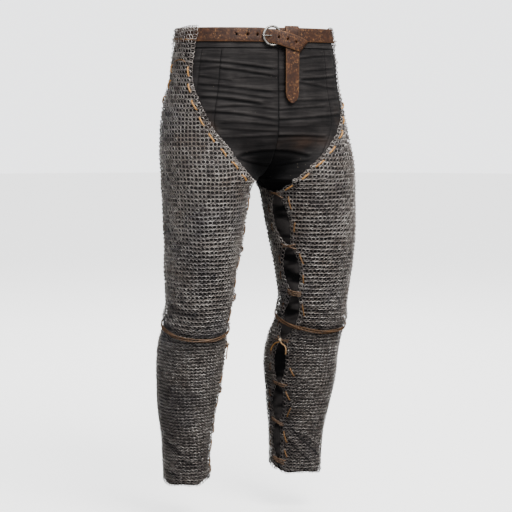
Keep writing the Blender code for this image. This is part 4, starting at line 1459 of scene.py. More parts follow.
@dataclass
class RingMail:
    """Two legs of linked rings, laid row by row round the form."""

    thigh_pitch: float = 0.00422
    shin_pitch: float = 0.00358
    knee: Pair = (-0.660, 0.10)
    ring_pitch: float = 0.0081
    hip_ring_pitch: float = 0.0074
    hip: Pair = (-0.240, 0.18)
    ring_radius: float = 0.0040
    wire_radius: float = 0.00052
    standing_inset: float = 0.0002
    standing_depth: float = 0.62
    line_spread: float = 0.0004
    standing_tilt: float = math.radians(77)
    top: float = 0.0112
    half_wall: float = 0.0026
    over_belt: float = 0.0062
    onto_belt: Pair = (-0.030, 0.0135)
    soft_waves: tuple[Pair, ...] = ((0.0011, 16), (0.0006, 41))
    row_waves: tuple[Pair, ...] = ((0.0016, 20), (0.0008, 55))
    shade_waves: tuple[Pair, ...] = ((0.16, 17), (0.16, 60))
    wave_shift: float = 5.0
    edge_margin: float = 0.0056
    border_inset: float = 0.0030
    hem_margin: float = 0.0062
    fold_ridge: float = 0.55
    # Metres of fold for a whole step of a ring's shade: painted shade in troughs, painted light on ridges
    fold_shade: float = 0.0028
    fold_step: float = 0.002
    corner_drop: float = 0.0042
    corner_across: Pair = (0.41, 0.10)
    corner_up: Pair = (-0.012, 0.02)
    border_top: float = 0.012
    border_pitch: float = 0.0046
    border_step: float = 0.0012
    border_jump: float = 0.05
    slant_step: float = 0.003
    slot_reach: float = 0.004
    steepest: float = 5.0
    row_steps: int = 90
    row_overrun: float = 0.02
    turned_over: tuple[Triple, ...] = ((0.0150, 0.0052, 0.5), (0.0160, 0.0022, 1.1))
    shingled_yaw: float = math.radians(11)
    yaw_spread: float = 0.10
    tilt_spread: float = 0.07
    place_spread: float = 0.0002
    share_spread: float = 0.0003
    shade_spread: float = 0.18
    # Standing rings are painted darker and flat rings lighter, more so on the shin: painted light and shade
    # by how a ring is turned
    standing_shade: float = 0.50
    flat_shade: float = 0.66
    shin_contrast: float = 0.10
    shin_lines: Pair = (-0.600, -0.05)
    # A painted shadow on the rings just above the garter, where the mail blouses over it
    garter_shadow: float = 0.45
    shadow_above: float = 0.008
    shadow_reach: float = 0.006
    edge_yaws: Pair = (-0.45, 0.75)
    edge_shade: Pair = (0.55, 0.2)
    edge_spread: float = 0.0005
    hem_yaws: Pair = (-0.5, 0.7)
    hem_shade: Pair = (0.15, 0.12)
    hem_spread: float = 0.0004
    edge_yaw_spread: float = 0.1
    tab_top: float = 0.016
    tab_middle: float = 0.47
    tab_yaws: Pair = (-0.4, 0.8)
    tab_shade: float = 0.6
    zones: tuple[MailZone, ...] = (
        MailZone("hip", 1.0, -0.215, "mail_thigh"),
        MailZone("upper_thigh", -0.215, -0.400, "mail_thigh"),
        MailZone("lower_thigh", -0.400, GARTER_Z, "mail_thigh"),
        MailZone("calf", GARTER_Z, -0.760, "mail_shin"),
        MailZone("ankle", -0.760, -2.0, "mail_shin"),
    )
    dice: random.Random = field(default_factory=lambda: random.Random(7))

    def pitch(self, z: float) -> float:
        """The distance between two rows at a height, closer below the knee."""
        return self.shin_pitch + (self.thigh_pitch - self.shin_pitch) * eased(rising(z, *self.knee))

    def spacing(self, z: float) -> float:
        """The distance between two rings of a row at a height, closer at the hips."""
        return self.ring_pitch + (self.hip_ring_pitch - self.ring_pitch) * eased(rising(z, *self.hip))

    def heights(self) -> list[float]:
        """The heights of the rows, from the top down."""
        rows = [self.top]
        while rows[-1] > HEM_Z:
            rows.append(rows[-1] - self.pitch(rows[-1]))
        return rows

    def fold(self, z: float, t: float, side: Side) -> float:
        """How far the mail sinks or rises in its few soft folds."""
        return crease_lift(MAIL_FOLDS[side], z, t % 1.0, 1.0, self.fold_ridge)

    def centre_lift(self, z: float, t: float, side: Side) -> float:
        """How far the middle of a ring stands off the form."""
        plain = mail_outside(z - GARTER_Z - garter_offset(t)) - self.half_wall
        over = rising(z, *self.onto_belt)
        soft = waves(form_point(z, t), *self.soft_waves)
        return plain * (1 - over) + self.over_belt * over + (soft + self.fold(z, t, side)) * (1 - over)

    def shade(self, place: Vector, z: float, t: float, side: Side, turned: bool) -> float:
        """How light a ring is, from 0 to 1.

        Args:
            place: The ring's place on the wearer's left.
            z: Its height.
            t: Its share of the way round.
            side: The wearer's side.
            turned: Whether it stands on edge.

        Returns:
            The shade: painted shade in the folds' troughs and painted light on their ridges, a painted shadow
                just above the garter, painted light and shade by whether the ring stands, and random tone.
        """
        # Painted light and shade by how the ring is turned, stronger on the shin
        contrast = self.shin_contrast * rising(z, *self.shin_lines)
        shade = self.standing_shade - contrast if turned else self.flat_shade + contrast
        shade += waves(place, *self.shade_waves)
        # Random tone, with painted shade in the folds' troughs and painted light on their ridges
        shade += self.dice.gauss(0, self.shade_spread) + self.fold(z, t, side) / self.fold_shade
        # Painted shadow just above the garter
        above = z - GARTER_Z - garter_offset(t) - self.shadow_above
        return clamped(shade - self.garter_shadow * bell(above, self.shadow_reach))

    def ring(self, z: float, t: float, side: Side, turned: bool) -> LaidRing:
        """One ring. Every second row stands nearly on edge and closes the lines between.

        Args:
            z: Its height.
            t: Its share of the way round.
            side: The wearer's side.
            turned: Whether it stands on edge, as in every second row.

        Returns:
            The ring.
        """
        out, along = normal(z, t), along_row(z, t).normalized()
        up = out.cross(along)
        if up.z < 0:
            up.negate()
        rise = self.fold(z + self.fold_step, t, side) - self.fold(z - self.fold_step, t, side)
        slope = rise / (2 * self.fold_step)
        facing, up = (out - up * slope).normalized(), (up + out * slope).normalized()
        yaw = self.shingled_yaw + self.dice.gauss(0, self.yaw_spread)
        flat_tilt = math.acos((self.pitch(z) - self.line_spread) / self.ring_radius)
        tilt = (self.standing_tilt if turned else -flat_tilt) + self.dice.gauss(0, self.tilt_spread)
        lean = leaning(swung(swung(facing, along, yaw), up, tilt), side, math.pi / 2 if turned else 0.0)
        lift = self.centre_lift(z, t, side) - (self.standing_inset if turned else 0.0)
        place = form_point(z, t) + out * (lift + self.dice.gauss(0, self.place_spread))
        return LaidRing(mirrored(place, side), lean, self.shade(place, z, t, side, turned), turned)

    def row(self, z: float, index: int, side: Side) -> list[Pair]:
        """The places of one row's rings.

        Args:
            z: The row's height.
            index: Its number, which says whether it is set half a pitch aside.
            side: The wearer's side.

        Returns:
            Heights and shares of the way round.
        """
        first, last = mail_span(z, side)
        overrun, steps = self.row_overrun, self.row_steps
        shares = [first - overrun + (last - first + 2 * overrun) * i / steps for i in range(steps + 1)]
        length = lengths_along([form_point(z, t) for t in shares])
        upper, lower = mail_span(z + self.slant_step, side), mail_span(z - self.slant_step, side)
        margins = []
        for k, t in enumerate((first, last)):
            run = (upper[k] - lower[k]) / (2 * self.slant_step) * speed(z, t)
            slant = run if abs(z - SLOT_TOP) > self.slot_reach else 0.0
            margins.append(self.edge_margin * min(math.sqrt(1 + slant ** 2), self.steepest))
        start, end = read_off(shares, length, first) + margins[0], read_off(shares, length, last) - margins[1]
        pitch = self.spacing(z)
        middle = read_off(shares, length, 0.5)
        offset = pitch / 2 if index % 2 else 0.0
        places = []
        number = math.ceil((start - middle - offset) / pitch)
        while middle + offset + number * pitch <= end:
            t = read_off(length, shares, middle + offset + number * pitch)
            place = form_point(z, t) + Vector((self.wave_shift, 0.0, 0.0))
            number += 1
            if z < hem_height(t, side) + self.hem_margin:
                continue
            wave = waves(place, *self.row_waves) - self.corner(t) * rising(z, *self.corner_up)
            height = z + wave + self.dice.gauss(0, self.place_spread)
            places.append((height, t + self.dice.gauss(0, self.share_spread) / speed(z, t)))
        return places

    def corner(self, t: float) -> float:
        """How far the tab's corner towards the back hangs lower."""
        return self.corner_drop * rising(t, *self.corner_across)

    def edge_ring(self, place: Vector, out: Vector, onwards: Vector, side: Side, yaw: float, shade: float,
                  spread: float) -> LaidRing:
        """One ring of an edge, a little uneven.

        Args:
            place: Its place on the wearer's left.
            out: The direction out of the form.
            onwards: The edge's direction.
            side: The wearer's side.
            yaw: How far it is swung towards the edge's direction.
            shade: Its mean shade.
            spread: How far the shade varies.

        Returns:
            The ring.
        """
        lean = leaning(swung(out, onwards, yaw + self.dice.gauss(0, self.edge_yaw_spread)), side)
        return LaidRing(mirrored(place, side), lean, clamped(shade + self.dice.gauss(0, spread)))

    def border(self, side: Side) -> list[LaidRing]:
        """Rings along both edges of one leg.

        Args:
            side: The wearer's side.

        Returns:
            The rings.
        """
        count = int((self.border_top - HEM_Z) / self.border_step)
        heights = [self.border_top - i * self.border_step for i in range(count)]
        rings = []
        for edge in (0, 1):
            line = [(z, mail_span(z, side)[edge]) for z in heights]
            points = [form_point(z, t) for z, t in line]
            length = lengths_along(points)
            count = int(length[-1] / self.border_pitch)
            for number in range(count):
                i = step_at(length, length[-1] * (number + 0.5) / count)
                z, t = line[i]
                if abs(line[i + 1][1] - t) > self.border_jump:
                    continue
                out = normal(z, t)
                onwards = (points[i + 1] - points[i]).normalized()
                inwards = out.cross(onwards).normalized()
                if inwards.dot(along_row(z, t)) * (1 - 2 * edge) < 0:
                    inwards.negate()
                inset = self.border_inset + self.dice.gauss(0, self.edge_spread)
                place = points[i] + inwards * inset + out * self.centre_lift(z, t, side)
                yaw = self.edge_yaws[number % 2]
                rings.append(self.edge_ring(place, out, onwards, side, yaw, *self.edge_shade))
        return rings

    def hem(self, side: Side) -> list[LaidRing]:
        """The darker rings along the mail's uneven hem.

        Args:
            side: The wearer's side.

        Returns:
            The rings.
        """
        rings = []
        first, last = mail_span(HEM_Z, side)
        count = round(speed(HEM_Z, 0.5) * (last - first) / self.border_pitch)
        for number in range(count):
            t = first + (last - first) * (number + 0.5) / count
            z = hem_height(t, side) + self.border_inset + self.dice.gauss(0, self.hem_spread)
            out, along = normal(z, t), along_row(z, t).normalized()
            place = form_point(z, t) + out * self.centre_lift(z, t, side)
            yaw = self.hem_yaws[number % 2]
            rings.append(self.edge_ring(place, out, along, side, yaw, *self.hem_shade))
        return rings

    def fold_over(self, side: Side) -> list[LaidRing]:
        """The rings of the tab that turn over the belt's top edge.

        Args:
            side: The wearer's side.

        Returns:
            The rings.
        """
        rings = []
        first, last = mail_span(self.tab_top, side)
        for index, (z, lift, pitch) in enumerate(self.turned_over):
            count = round(speed(z, self.tab_middle) * (last - first) / self.hip_ring_pitch)
            yaw = self.tab_yaws[index % 2]
            for number in range(count):
                t = first + (last - first) * (number + 0.5 + 0.5 * (index % 2) * (number < count - 1)) / count
                out = normal(z, t)
                axis = swung(swung(out, Vector((0, 0, 1)), pitch), along_row(z, t).normalized(), yaw)
                place = form_point(z, t) + out * lift - Vector((0, 0, self.corner(t)))
                rings.append(LaidRing(mirrored(place, side), leaning(axis, side), self.tab_shade))
        return rings

    def template(self, material: Material) -> Thing:
        """One ring of a three-sided wire, with two straight sides.

        Args:
            material: The finish.

        Returns:
            The ring.
        """
        wire = spun_ring(self.ring_radius, self.wire_radius, 3, 6)
        bmesh.ops.rotate(wire, cent=(0, 0, 0), matrix=Matrix.Rotation(math.pi / 6, 3, "Z"), verts=wire.verts)
        bmesh.ops.scale(wire, vec=(1 / math.cos(math.pi / 6), 1, 1), verts=wire.verts)
        ring = shown("ring_template", wire, material, angle=180.0)
        ring.hide_render = True
        return ring

    def linker(self, ring: Thing) -> bpy.types.NodeTree:
        """Geometry nodes that lay a ring on each point and make the rings real.

        Args:
            ring: The ring to lay.

        Returns:
            The node tree.
        """
        tree = bpy.data.node_groups.new("laid_rings", "GeometryNodeTree")
        for way in ("INPUT", "OUTPUT"):
            tree.interface.new_socket("Geometry", in_out=way, socket_type="NodeSocketGeometry")
        start, end, source, laid, real = (tree.nodes.new(kind) for kind in (
            "NodeGroupInput", "NodeGroupOutput", "GeometryNodeObjectInfo", "GeometryNodeInstanceOnPoints",
            "GeometryNodeRealizeInstances"))
        source.inputs["Object"].default_value = ring
        for name, socket in (("lean", "Rotation"), ("size", "Scale")):
            read = tree.nodes.new("GeometryNodeInputNamedAttribute")
            read.data_type = "FLOAT_VECTOR"
            read.inputs["Name"].default_value = name
            tree.links.new(read.outputs["Attribute"], laid.inputs[socket])
        for giver, given, taker, taken in (
                (start, 0, laid, "Points"), (source, "Geometry", laid, "Instance"),
                (laid, "Instances", real, "Geometry"), (real, "Geometry", end, 0)):
            tree.links.new(giver.outputs[given], taker.inputs[taken])
        return tree

    def lay(self, name: str, rings: list[LaidRing], tree: bpy.types.NodeTree) -> Thing:
        """Make one piece of mail from its rings.

        Args:
            name: The piece's name.
            rings: Its rings.
            tree: The nodes that lay them.

        Returns:
            The piece.
        """
        points = bmesh.new()
        for ring in rings:
            points.verts.new(ring.place)
        mesh = bpy.data.meshes.new(name)
        points.to_mesh(mesh)
        points.free()
        sizes = [(self.standing_depth if ring.turned else 1.0, 1.0, 1.0) for ring in rings]
        carried = (("lean", "FLOAT_VECTOR", "vector", [value for ring in rings for value in ring.lean]),
                   ("size", "FLOAT_VECTOR", "vector", [value for size in sizes for value in size]),
                   ("shade", "FLOAT", "value", [ring.shade for ring in rings]))
        for attribute, kind, part, values in carried:
            mesh.attributes.new(attribute, kind, "POINT").data.foreach_set(part, values)
        piece = added(name, mesh)
        piece.modifiers.new("rings", "NODES").node_group = tree
        return baked(piece)

    def build(self, material: Material) -> None:
        """Make both legs.

        Args:
            material: The finish.
        """
        ring = self.template(material)
        tree = self.linker(ring)
        for side in Side:
            zones: dict[str, list] = {zone.name: [] for zone in self.zones}
            for index, z in enumerate(self.heights()):
                for height, t in self.row(z, index, side):
                    zone = self.zone_of(z, z - GARTER_Z - garter_offset(t))
                    zones[zone.name].append(self.ring(height, t, side, bool(index % 2)))
            for laid in self.border(side) + self.hem(side) + self.fold_over(side):
                zones[self.zone_of(laid.place.z, laid.place.z - GARTER_Z).name].append(laid)
            for zone in self.zones:
                rings = zones[zone.name]
                piece = self.lay(f"rings_{zone.name}_{side.word}", rings, tree)
                settle(piece, "mail", f"{zone.node}_{side.word}")
                heights = [laid.place.z for laid in rings]
                area = sum(self.spacing(z) * self.pitch(z) for z in heights)
        bpy.data.objects.remove(ring, do_unlink=True)

    def zone_of(self, z: float, over_garter: float) -> MailZone:
        """The piece that a ring belongs to; the garter's slanted line parts thigh from calf.

        Args:
            z: The height.
            over_garter: How far the ring lies over the garter's line.

        Returns:
            The piece.
        """
        for zone in self.zones:
            if zone.node == "mail_thigh" and over_garter < 0:
                continue
            if z > zone.bottom or (zone.name == "lower_thigh" and over_garter >= 0):
                return zone
        return self.zones[-1]


@dataclass
class Belt:
    """The leather belt, one strap with rounded edges, with its buckle ring and tongue."""

    holes: tuple[Pair, ...] = ((-0.0864, 0.0000), (-0.0654, -0.0004), (-0.0459, -0.0010))
    tail_holes: tuple[Triple, ...] = (
        (-0.0040, -0.0054, 0.0106), (0.0143, -0.0094, 0.0126), (0.0331, -0.0146, 0.0126),
    )
    hole_radius: float = 0.0023
    around: int = 90
    corner: float = 0.0009
    ring_x: float = -0.0158
    ring_z: float = -0.0023
    ring_lift: float = 0.0057
    ring_radius: float = 0.0185
    ring_wire: float = 0.00255
    ring_depth: float = 0.0018
    tongue: tuple[Pair, ...] = (
        (-0.0010, 0.0056), (-0.0110, 0.0054), (-0.0178, 0.0063), (-0.0245, 0.0084), (-0.0330, 0.0100),
        (-0.0370, 0.0098),
    )
    tongue_wire: float = 0.0014
    tongue_step: float = 0.0015
    hole_cut: Pair = (0.0021, 0.0045)
    tail_hole_cut: float = 0.0032

    def knot_section(self, row: BeltRow) -> tuple[Vector, Vector, Vector]:
        """Upper edge, lower edge and facing direction of a section on the front of the trunk.

        Args:
            row: The section's numbers.

        Returns:
            The two edges and the direction that the leather faces.
        """
        first, second = front_point(row.x1, row.z1, row.lift), front_point(row.x2, row.z2, row.lift)
        middle_z = (row.z1 + row.z2) / 2
        out = normal(middle_z, share_at((row.x1 + row.x2) / 2, middle_z))
        onwards = (second - first).cross(out).normalized()
        angle = math.radians(row.turn)
        return first, second, swung(out, -onwards, angle)

    def sections(self) -> list[tuple[Vector, Vector, Vector]]:
        """Every section of the strap, from its end under the buckle to the tip of its tail.

        Returns:
            The sections, each as two edges and a direction.
        """
        found = [self.knot_section(row) for row in BELT_START]
        begin, end = share_at(BELT_START[-1].x1, 0.0), 2 + share_at(BELT_KNOT[0].x1, 0.0)
        half = BELT_WIDTH / 2
        for i in range(1, self.around):
            t = begin + (end - begin) * i / self.around
            t = t if t <= 1 else t - 2
            found.append((form_point(half, t) + normal(half, t) * BELT_LIFT,
                          form_point(-half, t) + normal(-half, t) * BELT_LIFT, normal(0.0, t)))
        knot = [self.knot_section(row) for row in BELT_KNOT]
        found.append(knot[0])
        for near, far in zip(knot, knot[1:]):
            steps = 3 if (far[0] - near[0]).length > 0.006 else 2
            for i in range(1, steps + 1):
                share = i / steps
                found.append(tuple(a.lerp(b, share) for a, b in zip(near, far)))
        return found

    def profile(self) -> list[Pair]:
        """The strap's section: shares across its width and offsets through its thickness.

        Returns:
            The section's points.
        """
        half, edge = BELT_THICK / 2, self.corner / BELT_WIDTH
        outer = [(0.0, 0.45 * half), (edge * 0.35, 0.85 * half), (edge, half), (0.25, half),
                 (0.5, half * 1.02), (0.75, half), (1 - edge, half), (1 - edge * 0.35, 0.85 * half),
                 (1.0, 0.45 * half)]
        return outer + [(share, -offset) for share, offset in reversed(outer)]

    def strap(self, leather: Material) -> Thing:
        """The strap with its holes.

        Args:
            leather: The strap's finish.

        Returns:
            The strap.
        """
        sections, profile = self.sections(), self.profile()
        count = len(profile)

        def place(column: int, row: int) -> Vector:
            """A point of the strap's skin."""
            first, second, facing = sections[row]
            share, offset = profile[column % count]
            return first.lerp(second, share) + facing.normalized() * offset

        shape = sealed(mapped_grid(count, len(sections) - 1, place))
        strap = shown("leather_belt", shape, leather, angle=60.0)
        cutters = [self.cutter(strap, x, z, *self.hole_cut) for x, z in self.holes]
        cutters += [self.cutter(strap, x, z, lift, self.tail_hole_cut) for x, z, lift in self.tail_holes]
        baked(strap)
        for cutter in cutters:
            bpy.data.objects.remove(cutter, do_unlink=True)
        return strap

    def cutter(self, strap: Thing, x: float, z: float, lift: float, reach: float) -> Thing:
        """Cut one round hole through the strap.

        Args:
            strap: The strap.
            x: The hole's place across the front.
            z: The hole's height.
            lift: The lift of the hole's middle.
            reach: Half the cut's depth.

        Returns:
            The cutting shape, to be removed once the strap is finished.
        """
        drill = bmesh.new()
        bmesh.ops.create_cone(drill, cap_ends=True, segments=14, radius1=self.hole_radius,
                              radius2=self.hole_radius, depth=2 * reach, matrix=facing_out(x, z, lift))
        cutter = shown("punch", drill, strap.data.materials[0])
        cut = strap.modifiers.new("hole", "BOOLEAN")
        cut.operation = "DIFFERENCE"
        cut.object = cutter
        return cutter

    def buckle(self, steel: Material) -> None:
        """The round buckle and the tongue that lies over its rim.

        Args:
            steel: The buckle's finish.
        """
        wire = spun_ring(self.ring_radius, self.ring_wire, 12, 64, self.ring_depth / self.ring_wire)
        place = facing_out(self.ring_x, self.ring_z, self.ring_lift)
        bmesh.ops.transform(wire, matrix=place, verts=wire.verts)
        settle(shown("round_buckle", wire, steel), "buckle_metal", "buckle_ring")
        points = [front_point(x, self.ring_z, lift) for x, lift in self.tongue]
        route = smooth_route(points, self.tongue_step)
        tongue = tube(route, self.tongue_wire, sides=10, lobes=0.0)
        settle(shown("buckle_tongue", tongue, steel), "buckle_metal", "buckle_prong")

    def build(self, leather: Material, steel: Material) -> None:
        """Make the belt and the buckle."""
        settle(self.strap(leather), "belt_leather", "belt_strap")
        self.buckle(steel)


class Stitch(NamedTuple):
    """One visible stitch of thong in the mail: height and share of its upper and lower end."""

    z1: float
    t1: float
    z2: float
    t2: float


class Strand(NamedTuple):
    """One strand of a lace: how far aside it starts and ends, and how high it starts, crosses and ends."""

    tie: int
    start: float
    end: float
    start_rise: float
    middle_rise: float
    end_rise: float


LACE_STRANDS = table(
    Strand,
    (0, -1.2, 1.0, 0.5, 0.6, 0.2), (0, -1.2, 1.6, -0.7, 0.0, -1.9),
    (1, -1.4, 1.4, 0.9, 0.25, 0.9), (1, -1.3, 1.5, -0.9, -0.15, -1.0),
    (2, -1.1, 1.3, 1.4, 1.0, 0.6), (2, -1.1, 1.3, 0.4, 0.1, -0.3),
    (2, -1.0, 1.2, -0.6, -0.9, -1.3),
    (3, -1.4, 1.3, -0.2, 0.2, -0.7), (3, -1.0, 1.3, 1.5, 0.1, 0.4),
    (4, -1.2, 1.7, 0.7, 0.3, -0.5), (4, -1.0, 1.3, 0.0, -0.6, -1.4),
    (5, -1.2, 1.2, 1.4, 0.6, -0.8), (5, -1.2, 1.3, 0.7, -0.3, -1.7),
    (6, -1.1, 1.6, 1.2, 0.7, 0.1), (6, -1.1, 1.4, 0.4, -0.2, -0.9),
    (6, -0.9, 1.2, -0.4, -1.0, -1.8),
)
TAB_THREAD = table(
    Stitch,
    (-0.0092, 0.556, -0.0096, 0.532), (-0.0100, 0.514, -0.0104, 0.488),
    (-0.0106, 0.470, -0.0110, 0.444), (-0.0112, 0.427, -0.0114, 0.402),
    (-0.0115, 0.388, -0.0115, 0.370),
)
TAB_ARC = ((-0.0540, 0.484), (-0.0515, 0.466), (-0.0503, 0.442), (-0.0512, 0.418), (-0.0548, 0.398))
RIGHT_STITCHES = table(
    Stitch,
    (-0.0644, 0.380, -0.0819, 0.370), (-0.0982, 0.366, -0.1134, 0.347),
    (-0.1310, 0.333, -0.1478, 0.300), (-0.1629, 0.281, -0.1791, 0.263),
    (-0.1959, 0.253, -0.2109, 0.248), (-0.2259, 0.239, -0.2390, 0.239),
    (-0.2518, 0.230, -0.2645, 0.225), (-0.2780, 0.216, -0.2879, 0.202),
)
LEFT_STITCHES = table(
    Stitch,
    (-0.1361, 0.381, -0.1470, 0.336), (-0.1656, 0.319, -0.1783, 0.309),
    (-0.1936, 0.296, -0.2074, 0.278), (-0.2247, 0.260, -0.2375, 0.246),
    (-0.2526, 0.233, -0.2646, 0.215), (-0.2790, 0.197, -0.2883, 0.179),
    (-0.3009, 0.129, -0.3111, 0.098),
)
SLOT_STITCHES = table(
    Stitch,
    (-0.3263, 0.103, -0.3508, 0.109), (-0.3795, 0.116, -0.3983, 0.109),
    (-0.4438, 0.119, -0.4644, 0.131), (-0.4876, 0.128, -0.5045, 0.128),
    (-0.5506, 0.122, -0.5765, 0.138), (-0.6909, 0.125, -0.7083, 0.144),
    (-0.7448, 0.106, -0.7631, 0.128), (-0.7821, 0.134, -0.8022, 0.116),
    (-0.8361, 0.097, -0.8592, 0.116), (-0.8763, 0.103, -0.8916, 0.119),
)

# Shares along a stitch with shares of its lift, and along a lace with lifts and the sense of its weave
STITCH_ARCH = ((-0.02, 0.30), (0.04, 0.77), (0.3, 1.0), (0.7, 1.0), (0.96, 0.77), (1.02, 0.30))
LACE_ARCH = (
    (-0.08, 0.0015, 0), (0.0, 0.0050, 0), (0.25, 0.0060, -1), (0.5, 0.0063, 1), (0.75, 0.0060, -1),
    (1.0, 0.0050, 0), (1.08, 0.0015, 0),
)


# Each thong's finish: its name, its dark and its pale colour, and how many blotches a metre holds
THONG_COLOURS = (
    ("golden", (124, 84, 42), (206, 152, 86), 700.0), ("lace", (34, 25, 20), (132, 104, 80), 420.0),
    ("pale", (96, 68, 42), (188, 148, 104), 420.0), ("cream", (150, 118, 84), (232, 208, 172), 700.0),
    ("dull", (76, 54, 32), (146, 106, 60), 700.0), ("brown", (44, 32, 22), (112, 82, 54), 400.0),
)


@dataclass
class Thongs:
    """Garters, laces with their bow, and the running stitches along the mail's edges."""

    garter_points: int = 260
    garter_lift: float = 0.0021
    garter_swing: Pair = (0.0028, 0.0008)
    garter_radius: float = 0.00145
    lace_weave: float = 0.0005
    lace_radius: float = 0.00155
    lace_step: float = 0.0014
    end_step: float = 0.0012
    stitch_step: float = 0.0016
    knot_lift: float = 0.0076
    knot_reach: Triple = (0.0022, 0.0024, 0.0018)
    knot_radius: float = 0.0015
    knot_points: int = 30
    end_radius: float = 0.0017
    stitch_lift: float = 0.0053
    stitch_radius: float = 0.0019
    slot_stitch_lift: float = 0.0045
    slot_stitch_radius: float = 0.0016
    inner_stitch_lift: float = 0.0042
    inner_stitch_radius: float = 0.0013
    inner_shares: Pair = (0.30, 0.66)
    inner_inset: float = 0.010
    inner_half: float = 0.008
    back_top: float = -0.060
    back_bottom: float = -0.285
    back_length: float = 0.014
    back_pitch: float = 0.031
    back_inset: float = 0.011
    tab_lift: float = 0.0104
    tab_radius: float = 0.0009
    arc_lift: float = 0.0062
    arc_radius: float = 0.0011
    free_ends: tuple[tuple[str, tuple[Triple, ...]], ...] = (
        ("outer", ((0.0042, 0.0021, 0.0078), (0.0080, 0.0072, 0.0070), (0.0111, 0.0128, 0.0064),
                   (0.0156, 0.0165, 0.0063), (0.0212, 0.0182, 0.0063), (0.0292, 0.0189, 0.0063))),
        ("inner", ((0.0042, -0.0021, 0.0078), (0.0062, -0.0066, 0.0072), (0.0084, -0.0112, 0.0066),
                   (0.0115, -0.0152, 0.0063), (0.0152, -0.0185, 0.0063), (0.0200, -0.0211, 0.0063),
                   (0.0262, -0.0226, 0.0063))),
    )

    def garter(self, side: Side, material: Material) -> None:
        """Three twisted strands wound round the leg below the knee.

        Args:
            side: The wearer's side.
            material: The finish.
        """
        strands = []
        for strand in range(3):
            route = []
            for j in range(self.garter_points):
                t = j / (self.garter_points - 1)
                turn = 2 * math.pi * (2 * t + strand / 3)
                z = GARTER_Z + garter_offset(t) + self.garter_swing[0] * math.cos(turn)
                lift = MAIL_TIED + self.garter_lift + self.garter_swing[1] * math.sin(turn)
                route.append(side_point(z, t, lift, side))
            strands.append(tube(route, self.garter_radius, sides=5, lobes=0.10, twist=0.006))
        settle(shown(f"garter_cord_{side.word}", joined(strands), material), "garter", f"garter_{side.word}")

    def lace(self, index: int, side: Side, material: Material) -> None:
        """The strands that cross the slot at one tie.

        Args:
            index: The tie's number from the top.
            side: The wearer's side.
            material: The thong.
        """
        z = TIES[index]
        middle = table_at("slot", z)[0]
        half = slot_half(z) + TIE_REACH
        strands = []
        for number, strand in enumerate(row for row in LACE_STRANDS if row.tie == index):
            points = []
            over = self.lace_weave * (-1) ** number
            for share, lift, sense in LACE_ARCH:
                across = strand.start + (strand.end - strand.start) * share
                rise = through_three(strand.start_rise, strand.middle_rise, strand.end_rise, clamped(share))
                t = middle + across * half / speed(z, middle)
                points.append(side_point(z + rise * TIE_SPREAD, t, lift + sense * over, side))
            strands.append(tube(smooth_route(points, self.lace_step), self.lace_radius))
        name = "bow" if index == BOW_TIE else str(index)
        settle(shown(f"thong_tie_{name}_{side.word}", joined(strands), material), "thong",
               f"lace_{name}_{side.word}")

    def knot(self, z: float, middle: float, side: Side) -> Shape:
        """Two turns of thong wound round the crossing of the bow.

        Args:
            z: The height.
            middle: The share at the slot's middle.
            side: The wearer's side.

        Returns:
            The wound thong.
        """
        centre = side_point(z, middle, self.knot_lift, side)
        out = mirrored(normal(z, middle), side)
        along = mirrored(along_row(z, middle).normalized(), side)
        up = out.cross(along)
        outwards, upwards, sideways = self.knot_reach
        last = self.knot_points - 1
        route = []
        for i in range(self.knot_points):
            angle = 2 * math.pi * 2 * i / last
            route.append(centre + out * outwards * math.cos(angle) + up * upwards * math.sin(angle)
                         + along * sideways * (i / last - 0.5) * 2)
        return tube(route, self.knot_radius)

    def free_end(self, name: str, rows: tuple, side: Side, material: Material) -> None:
        """One loose end of the bow, which lies on the mail.

        Args:
            name: Outer or inner.
            rows: Drop below the tie, way outwards and lift of its points.
            side: The wearer's side.
            material: The thong.
        """
        tie = TIES[BOW_TIE]
        middle = table_at("slot", tie)[0]
        points = [side_point(tie - drop, middle + across / speed(tie, middle), lift, side)
                  for drop, across, lift in rows]
        route = smooth_route(points, self.end_step)
        piece = settle(shown(f"bow_end_{name}_{side.word}", tube(route, self.end_radius), material), "thong",
                       f"lace_end_{name}_{side.word}")

    def stitches(self, name: str, rows: Sequence[Stitch], side: Side, material: Material,
                 lift: float, radius: float) -> None:
        """A run of stitches, each coming out of the mail and going back in.

        Args:
            name: The run's name.
            rows: The stitches.
            side: The wearer's side.
            material: The thong.
            lift: How far the middle of a stitch stands off the form.
            radius: Half the thong's thickness.
        """
        shapes = []
        for stitch in rows:
            points = []
            for share, height in STITCH_ARCH:
                z = stitch.z1 + (stitch.z2 - stitch.z1) * share
                t = stitch.t1 + (stitch.t2 - stitch.t1) * share
                points.append(side_point(z, t, lift * height, side))
            shapes.append(tube(smooth_route(points, self.stitch_step), radius, sides=6))
        settle(shown(f"stitches_{name}_{side.word}", joined(shapes), material), "thong")

    def inner_stitches(self) -> list[Stitch]:
        """Stitches on the inner side of the slot, at the middle of every second lens.

        Returns:
            The stitches.
        """
        rows = []
        for upper, lower in zip(TIES, TIES[1:]):
            for share in self.inner_shares:
                z = upper + (lower - upper) * share
                middle = table_at("slot", z)[0]
                t = 1 + middle - (slot_half(z) + self.inner_inset) / speed(z, middle)
                rows.append(Stitch(z + self.inner_half, t, z - self.inner_half, t))
        return rows

    def back_stitches(self, side: Side) -> list[Stitch]:
        """Stitches along the mail's back edge, from the belt down to the inseam.

        Args:
            side: The wearer's side.

        Returns:
            The stitches.
        """
        rows = []
        z = self.back_top
        while z > self.back_bottom:
            ends = []
            for height in (z, z - self.back_length):
                t = mail_span(height, side)[1]
                ends.append(t - self.back_inset / speed(height, t))
            rows.append(Stitch(z, ends[0], z - self.back_length, ends[1]))
            z -= self.back_pitch
        return rows

